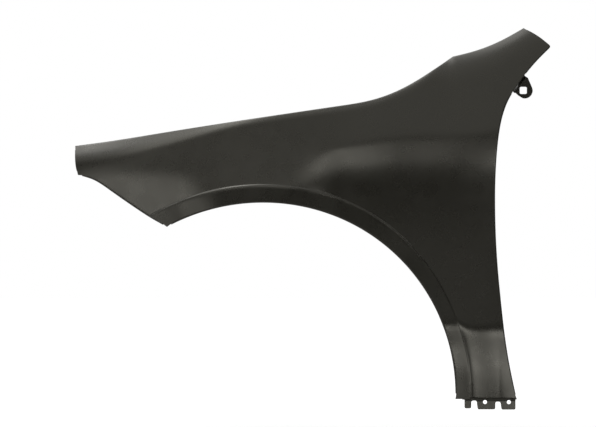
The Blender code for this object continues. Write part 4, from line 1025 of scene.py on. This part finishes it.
def build_cutters(skin, ear_depth, sill_depth):
    """All holes and trims of the sheet, as closed prisms."""
    sizes = skin.sizes
    cuts = Sheet()
    for place in PAD_PLACES:
        base = (place, skin.pad_hole_depth(place), skin.pad_floor(place))
        add_prism(cuts, circle(sizes.pad_hole), base, (0, 0, 1), (1, 0, 0))
    for angle in TAB_ANGLES:
        ray = np.array((math.cos(angle), 0, math.sin(angle)))
        base = ray * float(skin.arch_radius(angle))
        base[1] = float(skin.lip_depth(np.float64(angle), EDGE_BEND))
        base[1] += EDGE_BEND + sizes.arch_flange + TAB_DEPTH - TAB_HOLE
        add_prism(cuts, circle(TAB_HOLE), base, ray, (0, 1, 0))
    for shares, places, hole, depth in FRONT_HOLES:
        curve = spline(outline(shares), FINE)
        outward = side_normals(curve, 1)
        for place in places:
            k = int(place * (len(FINE) - 1))
            level = float(skin.body_depth(*curve[k])) + EDGE_BEND + depth / 2
            base, axis = (curve[k, 0], level, curve[k, 1]), (outward[k, 0], 0, outward[k, 1])
            add_prism(cuts, circle(hole), base, axis, (0, 1, 0))
    side_cut(cuts, ear_section(), ear_depth)
    side_cut(cuts, square_section(sizes.ear_hole, EAR_HOLE_CORNER) + EAR_HOLE_CENTRE, ear_depth)
    side_cut(cuts, sill_section(), sill_depth, SILL_DROP)
    for back, drop in SILL_HOLES:
        hole = circle(sizes.sill_hole) + (DOOR[-1, 0] - back, DOOR[-1, 1] - drop)
        side_cut(cuts, hole, sill_depth, SILL_HOLE_REACH)
    return cuts


def link(obj):
    """The object, put into the scene."""
    bpy.context.scene.collection.objects.link(obj)
    return obj


def add_node(tree, kind, **values):
    """A shader node, with its plain settings and its inputs by name."""
    node = tree.nodes.new(kind)
    for name, value in values.items():
        if hasattr(node, name):
            setattr(node, name, value)
        else:
            node.inputs[name.replace("_", " ")].default_value = value
    return node


def noise(tree, coordinates, scale, detail, roughness=0.5):
    """Cloudy pattern from 0 to 1."""
    node = add_node(tree, "ShaderNodeTexNoise", Scale=scale, Detail=detail, Roughness=roughness)
    tree.links.new(coordinates, node.inputs["Vector"])
    return node.outputs["Fac"]


def between(tree, value, given, made):
    """Value mapped from the given range to the one made of it, held at its ends."""
    node = add_node(tree, "ShaderNodeMapRange")
    names = ("From Min", "From Max", "To Min", "To Max")
    for name, number in zip(names, (*given, *made)):
        node.inputs[name].default_value = number
    tree.links.new(value, node.inputs["Value"])
    return node.outputs["Result"]


def primer_material(look):
    """Satin black dip primer: fine orange peel, faint mottling and a little dust."""
    material = bpy.data.materials.new("black_primer")
    material.use_nodes = True
    tree = material.node_tree
    shader = tree.nodes["Principled BSDF"]
    shader.inputs["Specular IOR Level"].default_value = look.gloss
    shader.inputs["Specular Tint"].default_value = (*look.gloss_tint, 1)
    place = tree.nodes.new("ShaderNodeTexCoord").outputs["Object"]

    mottle = noise(tree, place, MOTTLE_SCALE, detail=4.0, roughness=0.6)
    colour = add_node(tree, "ShaderNodeMix", data_type="RGBA")
    # Inputs 6 and 7 of a colour mix are its colours, 0 is its factor, and output 2 is the result
    colour.inputs[6].default_value = (*look.colour, 1)
    colour.inputs[7].default_value = (*look.dust_colour, 1)
    tree.links.new(between(tree, mottle, MOTTLE_RANGE, (0.0, MOTTLE_SHARE)), colour.inputs[0])
    tree.links.new(colour.outputs[2], shader.inputs["Base Color"])

    clouds = noise(tree, place, CLOUD_SCALE, detail=3.0)
    spread = (look.roughness - CLOUD_SPREAD, look.roughness + CLOUD_SPREAD)
    rough = between(tree, clouds, CLOUD_RANGE, spread)
    tree.links.new(rough, shader.inputs["Roughness"])

    peel = noise(tree, place, 1 / look.peel_size, detail=2.0)
    bump_node = add_node(tree, "ShaderNodeBump", Strength=look.peel_strength, Distance=PEEL_DEPTH)
    tree.links.new(peel, bump_node.inputs["Height"])
    tree.links.new(bump_node.outputs["Normal"], shader.inputs["Normal"])
    return material


class FenderSizes(bpy.types.PropertyGroup):
    """Sizes of the pressed sheet."""

    sheet_thickness: FloatProperty(
        name="Sheet thickness", description="Thickness of the steel sheet",
        default=0.0008, min=0.0004, max=0.002, precision=4, unit="LENGTH")
    arch_radius: FloatProperty(
        name="Arch radius", description="Radius of the wheel arch where it is tightest",
        default=0.3524, min=0.34, max=0.36, precision=4, unit="LENGTH")
    lip_height_top: FloatProperty(
        name="Lip height at the top", description="How proud the arch lip stands over the wheel",
        default=0.0030, min=0.001, max=0.01, precision=4, unit="LENGTH")
    lip_height_rear: FloatProperty(
        name="Lip height at the rear", description="How proud the arch lip stands low on the leg",
        default=0.0005, min=0.0, max=0.006, precision=4, unit="LENGTH")
    arch_flange: FloatProperty(
        name="Arch flange depth", description="How far the arch edge turns in, between its tabs",
        default=0.013, min=0.006, max=0.02, precision=4, unit="LENGTH")
    door_flange: FloatProperty(
        name="Door flange depth", description="How far the door edge turns in",
        default=0.015, min=0.006, max=0.02, precision=4, unit="LENGTH")
    pad_hole: FloatProperty(
        name="Pad hole", description="Diameter of the bolt holes in the hood-side shelf",
        default=0.0095, min=0.006, max=0.011, precision=4, unit="LENGTH")
    ear_hole: FloatProperty(
        name="Ear hole", description="Width of the square hole in the bolt ear",
        default=0.0136, min=0.008, max=0.015, precision=4, unit="LENGTH")
    sill_hole: FloatProperty(
        name="Sill hole", description="Diameter of the round holes in the sill flange",
        default=0.0076, min=0.005, max=0.010, precision=4, unit="LENGTH")
    fineness: IntProperty(
        name="Fineness", description="Steps of the grid between neighbouring stations",
        default=3, min=1, max=4)


class PrimerLook(bpy.types.PropertyGroup):
    """Finish of the sheet."""

    colour: FloatVectorProperty(
        name="Primer colour", description="Colour of the black primer",
        default=(0.0086, 0.0079, 0.0054), size=3, min=0, max=1, subtype="COLOR")
    dust_colour: FloatVectorProperty(
        name="Dust colour", description="Colour that the primer mottles towards",
        default=(0.0124, 0.0115, 0.0088), size=3, min=0, max=1, subtype="COLOR")
    roughness: FloatProperty(
        name="Roughness", description="Roughness of the primer",
        default=0.28, min=0.1, max=0.8, subtype="FACTOR")
    gloss: FloatProperty(
        name="Gloss", description="Strength of the primer's mirror-like part",
        default=0.5, min=0.0, max=1.0, subtype="FACTOR")
    gloss_tint: FloatVectorProperty(
        name="Gloss tint", description="Warm tint of the primer's mirror-like part",
        default=(1.0, 0.97, 0.86), size=3, min=0, max=1, subtype="COLOR")
    peel_size: FloatProperty(
        name="Orange peel size", description="Width of the fine waves in the primer",
        default=0.0016, min=0.0005, max=0.01, precision=4, unit="LENGTH")
    peel_strength: FloatProperty(
        name="Orange peel strength", description="How deep the fine waves look",
        default=0.12, min=0.0, max=1.0, subtype="FACTOR")


class StageLook(bpy.types.PropertyGroup):
    """Floor, world and lamps."""

    floor_gap: FloatProperty(
        name="Floor gap", description="How far the fender hangs over the floor",
        default=0.06, min=0.0, max=1.0, precision=3, unit="LENGTH")
    floor_colour: FloatVectorProperty(
        name="Floor colour", description="Colour of the pale floor",
        default=(0.82, 0.82, 0.82), size=3, min=0, max=1, subtype="COLOR")
    floor_white: FloatProperty(
        name="Floor white", description="White that the floor adds near the fender, to the camera",
        default=0.55, min=0.0, max=1.0)
    world_level: FloatProperty(
        name="World level", description="Strength of the world as a soft light",
        default=0.11, min=0.0, max=2.0)
    room_low: FloatProperty(
        name="Room low down", description="Level of the room before the sheet, low down, in gloss",
        default=0.02, min=0.0, max=2.0)
    room_high: FloatProperty(
        name="Room overhead", description="Level of the room before the sheet, overhead, in gloss",
        default=0.95, min=0.0, max=2.0)
    backdrop: FloatProperty(
        name="Backdrop", description="Level of the white backdrop behind the sheet, in gloss",
        default=0.85, min=0.0, max=2.0)
    top_power: FloatProperty(
        name="Top lamp", description="Power of the soft box overhead",
        default=32.0, min=0.0, max=500.0, unit="POWER")
    nose_power: FloatProperty(
        name="Nose lamp", description="Power of the soft box above the nose",
        default=5.8, min=0.0, max=500.0, unit="POWER")
    left_power: FloatProperty(
        name="Left lamp", description="Power of the soft box to the left above the camera",
        default=28.0, min=0.0, max=500.0, unit="POWER")
    front_power: FloatProperty(
        name="Front lamp", description="Power of the soft box above the camera",
        default=23.0, min=0.0, max=500.0, unit="POWER")
    near_power: FloatProperty(
        name="Near lamp", description="Power of the small soft box right above the arch",
        default=2.5, min=0.0, max=500.0, unit="POWER")
    side_power: FloatProperty(
        name="Side lamp", description="Power of the small soft box low down to the left",
        default=3.6, min=0.0, max=500.0, unit="POWER")
    low_power: FloatProperty(
        name="Low lamp", description="Power of the small soft box low down to the right",
        default=13.0, min=0.0, max=500.0, unit="POWER")


def make_fender(sizes, look):
    """The fender panel in the row's frame: open sheet, then its thickness, then its cuts."""
    skin = Skin(sizes)
    sheet, ear_depth, sill_depth = build_sheet(skin, sizes.fineness)
    cuts = build_cutters(skin, ear_depth, sill_depth)
    panel, cutter = (
        link(bpy.data.objects.new(name, shape.mesh(name, skin.origin())))
        for name, shape in (("fender_sheet", sheet), ("fender_cuts", cuts))
    )

    wall = panel.modifiers.new("sheet_thickness", "SOLIDIFY")
    wall.thickness = sizes.sheet_thickness
    wall.offset = -1
    panel.modifiers.new("flat_faces", "TRIANGULATE")
    cut = panel.modifiers.new("holes_and_trims", "BOOLEAN")
    cut.operation = "DIFFERENCE"
    cut.solver = "EXACT"
    cut.object = cutter
    bpy.context.view_layer.update()
    evaluated = panel.evaluated_get(bpy.context.evaluated_depsgraph_get())
    finished = bpy.data.meshes.new_from_object(evaluated)
    panel.modifiers.clear()
    panel.data = finished
    bpy.data.objects.remove(cutter)
    finished.shade_smooth()
    finished.set_sharp_from_angle(angle=SHARP_ANGLE)
    finished.materials.clear()
    finished.materials.append(primer_material(look))
    return panel


class FENDER_OT_panel(bpy.types.Operator):
    """Make the pressed fender panel"""

    bl_idname = "fender.panel"
    bl_label = "Fender Panel"

    def execute(self, context):
        panel = make_fender(context.scene.fender_sizes, context.scene.fender_primer)
        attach(panel, "root")
        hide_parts(NODE)
        return {"FINISHED"}


def seen_directly(tree):
    """1 for rays from the camera, and 1 for rays off gloss or through glass."""
    path = tree.nodes.new("ShaderNodeLightPath")
    either = add_node(tree, "ShaderNodeMath", operation="MAXIMUM")
    tree.links.new(path.outputs["Is Glossy Ray"], either.inputs[0])
    tree.links.new(path.outputs["Is Transmission Ray"], either.inputs[1])
    return path.outputs["Is Camera Ray"], either.outputs[0]


def mixed(tree, share, low, high):
    """A level that goes from low at a share of 0 to high at 1; each may be a number or a socket."""
    node = add_node(tree, "ShaderNodeMix", data_type="FLOAT")
    # Input 0 of a number mix is its factor, and 2 and 3 are its numbers
    for socket, value in zip(node.inputs[:1] + node.inputs[2:4], (share, low, high)):
        if isinstance(value, (int, float)):
            socket.default_value = value
        else:
            tree.links.new(value, socket)
    return node.outputs[0]


def floor_material(look):
    """Pale floor: white to the camera away from the sheet, with a pale pool under it that takes
    its shadow, and in gloss white behind the sheet and dim before it."""
    material = bpy.data.materials.new("pale_floor")
    material.use_nodes = True
    tree = material.node_tree
    shader = tree.nodes["Principled BSDF"]
    shader.inputs["Base Color"].default_value = (*look.floor_colour, 1)
    shader.inputs["Roughness"].default_value = FLOOR_ROUGHNESS
    shader.inputs["Specular IOR Level"].default_value = 0.0
    shader.inputs["Emission Color"].default_value = (1, 1, 1, 1)
    coordinates = tree.nodes.new("ShaderNodeTexCoord").outputs["Object"]
    place = add_node(tree, "ShaderNodeSeparateXYZ")
    tree.links.new(coordinates, place.inputs[0])
    behind = between(tree, place.outputs["Y"], FLOOR_TURN, (look.room_low, FLOOR_BACKDROP))
    camera, gloss = seen_directly(tree)
    level = mixed(tree, gloss, 0.0, behind)
    away = add_node(tree, "ShaderNodeVectorMath", operation="LENGTH")
    tree.links.new(coordinates, away.inputs[0])
    white = between(tree, away.outputs["Value"], FLOOR_POOL, (look.floor_white, 1.0))
    tree.links.new(mixed(tree, camera, level, white), shader.inputs["Emission Strength"])
    return material


def make_world(look):
    """White to the camera; in gloss a white backdrop behind, and before it a room that
    brightens from low to high with the height of the ray; plain soft light for the rest."""
    world = bpy.data.worlds.new("studio")
    world.use_nodes = True
    tree = world.node_tree
    background = tree.nodes["Background"]
    way = add_node(tree, "ShaderNodeSeparateXYZ")
    tree.links.new(tree.nodes.new("ShaderNodeTexCoord").outputs["Generated"], way.inputs[0])
    room = between(tree, way.outputs["Z"], RAY_RISE, (look.room_low, look.room_high))
    behind = between(tree, way.outputs["Y"], RAY_TURN, (0.0, 1.0))
    camera, gloss = seen_directly(tree)
    level = mixed(tree, gloss, look.world_level, mixed(tree, behind, room, look.backdrop))
    tree.links.new(mixed(tree, camera, level, 1.0), background.inputs["Strength"])
    background.inputs["Color"].default_value = (1, 1, 1, 1)
    bpy.context.scene.world = world


def soft_box(name, place, aim, size, power):
    """A rectangular area lamp that looks at a point and that the camera doesn't see."""
    data = bpy.data.lights.new(name, "AREA")
    data.shape = "RECTANGLE"
    data.size, data.size_y = size
    data.energy = power
    lamp = link(bpy.data.objects.new(name, data))
    lamp.location = place
    lamp.rotation_euler = (Vector(aim) - Vector(place)).to_track_quat("-Z", "Y").to_euler()
    lamp.visible_camera = False


def make_floor(look):
    """A square floor at the gap below the CAD model's box."""
    level = CAD_BOX[0][2] - look.floor_gap
    ways = ((-1, -1), (1, -1), (1, 1), (-1, 1))
    corners = [(FLOOR_HALF * x, FLOOR_HALF * y, level) for x, y in ways]
    mesh = bpy.data.meshes.new("floor")
    mesh.from_pydata(corners, [], [(0, 1, 2, 3)])
    mesh.materials.append(floor_material(look))
    link(bpy.data.objects.new("floor", mesh))


def make_camera(origin):
    """The photograph's camera, square on to the side view."""
    data = bpy.data.cameras.new("camera")
    data.lens = data.sensor_width * CAMERA_DISTANCE / VIEW_WIDTH
    data.clip_start, data.clip_end = 0.1, 100.0
    camera = link(bpy.data.objects.new("camera", data))
    camera.location = np.array(CAMERA_AIM) - origin - (0, CAMERA_DISTANCE, 0)
    camera.rotation_euler = (math.pi / 2, 0, 0)
    return camera


class FENDER_OT_stage(bpy.types.Operator):
    """Make the floor, the world, the lamps and the camera"""

    bl_idname = "fender.stage"
    bl_label = "Stage"

    def execute(self, context):
        look = context.scene.fender_stage
        make_floor(look)
        make_world(look)
        for name, place, aim, size in LAMPS:
            soft_box(f"{name}_box", place, aim, size, getattr(look, f"{name}_power"))
        context.scene.camera = make_camera(Skin(context.scene.fender_sizes).origin())
        context.scene.view_settings.view_transform = "Standard"
        return {"FINISHED"}


class FENDER_PT_sidebar(bpy.types.Panel):
    """Sizes, finish and stage of the fender"""

    bl_idname = "FENDER_PT_sidebar"
    bl_label = "Car Fender"
    bl_space_type = "VIEW_3D"
    bl_region_type = "UI"
    bl_category = "Car Fender"

    def draw(self, context):
        for group, operator in (
            (context.scene.fender_sizes, FENDER_OT_panel),
            (context.scene.fender_primer, None),
            (context.scene.fender_stage, FENDER_OT_stage),
        ):
            box = self.layout.box()
            for name in group.__annotations__:
                box.prop(group, name)
            if operator:
                box.operator(operator.bl_idname)


CLASSES = (FenderSizes, PrimerLook, StageLook, FENDER_OT_panel, FENDER_OT_stage, FENDER_PT_sidebar)


def register():
    """Make the classes known, and give the scene their settings."""
    for item in CLASSES:
        bpy.utils.register_class(item)
    bpy.types.Scene.fender_sizes = PointerProperty(type=FenderSizes)
    bpy.types.Scene.fender_primer = PointerProperty(type=PrimerLook)
    bpy.types.Scene.fender_stage = PointerProperty(type=StageLook)


def unregister():
    """Take away what register added."""
    del bpy.types.Scene.fender_sizes
    del bpy.types.Scene.fender_primer
    del bpy.types.Scene.fender_stage
    for item in reversed(CLASSES):
        bpy.utils.unregister_class(item)


def main():
    """Make the fender and its stage."""
    register()
    bpy.ops.fender.panel()
    bpy.ops.fender.stage()


if __name__ == "__main__":
    main()
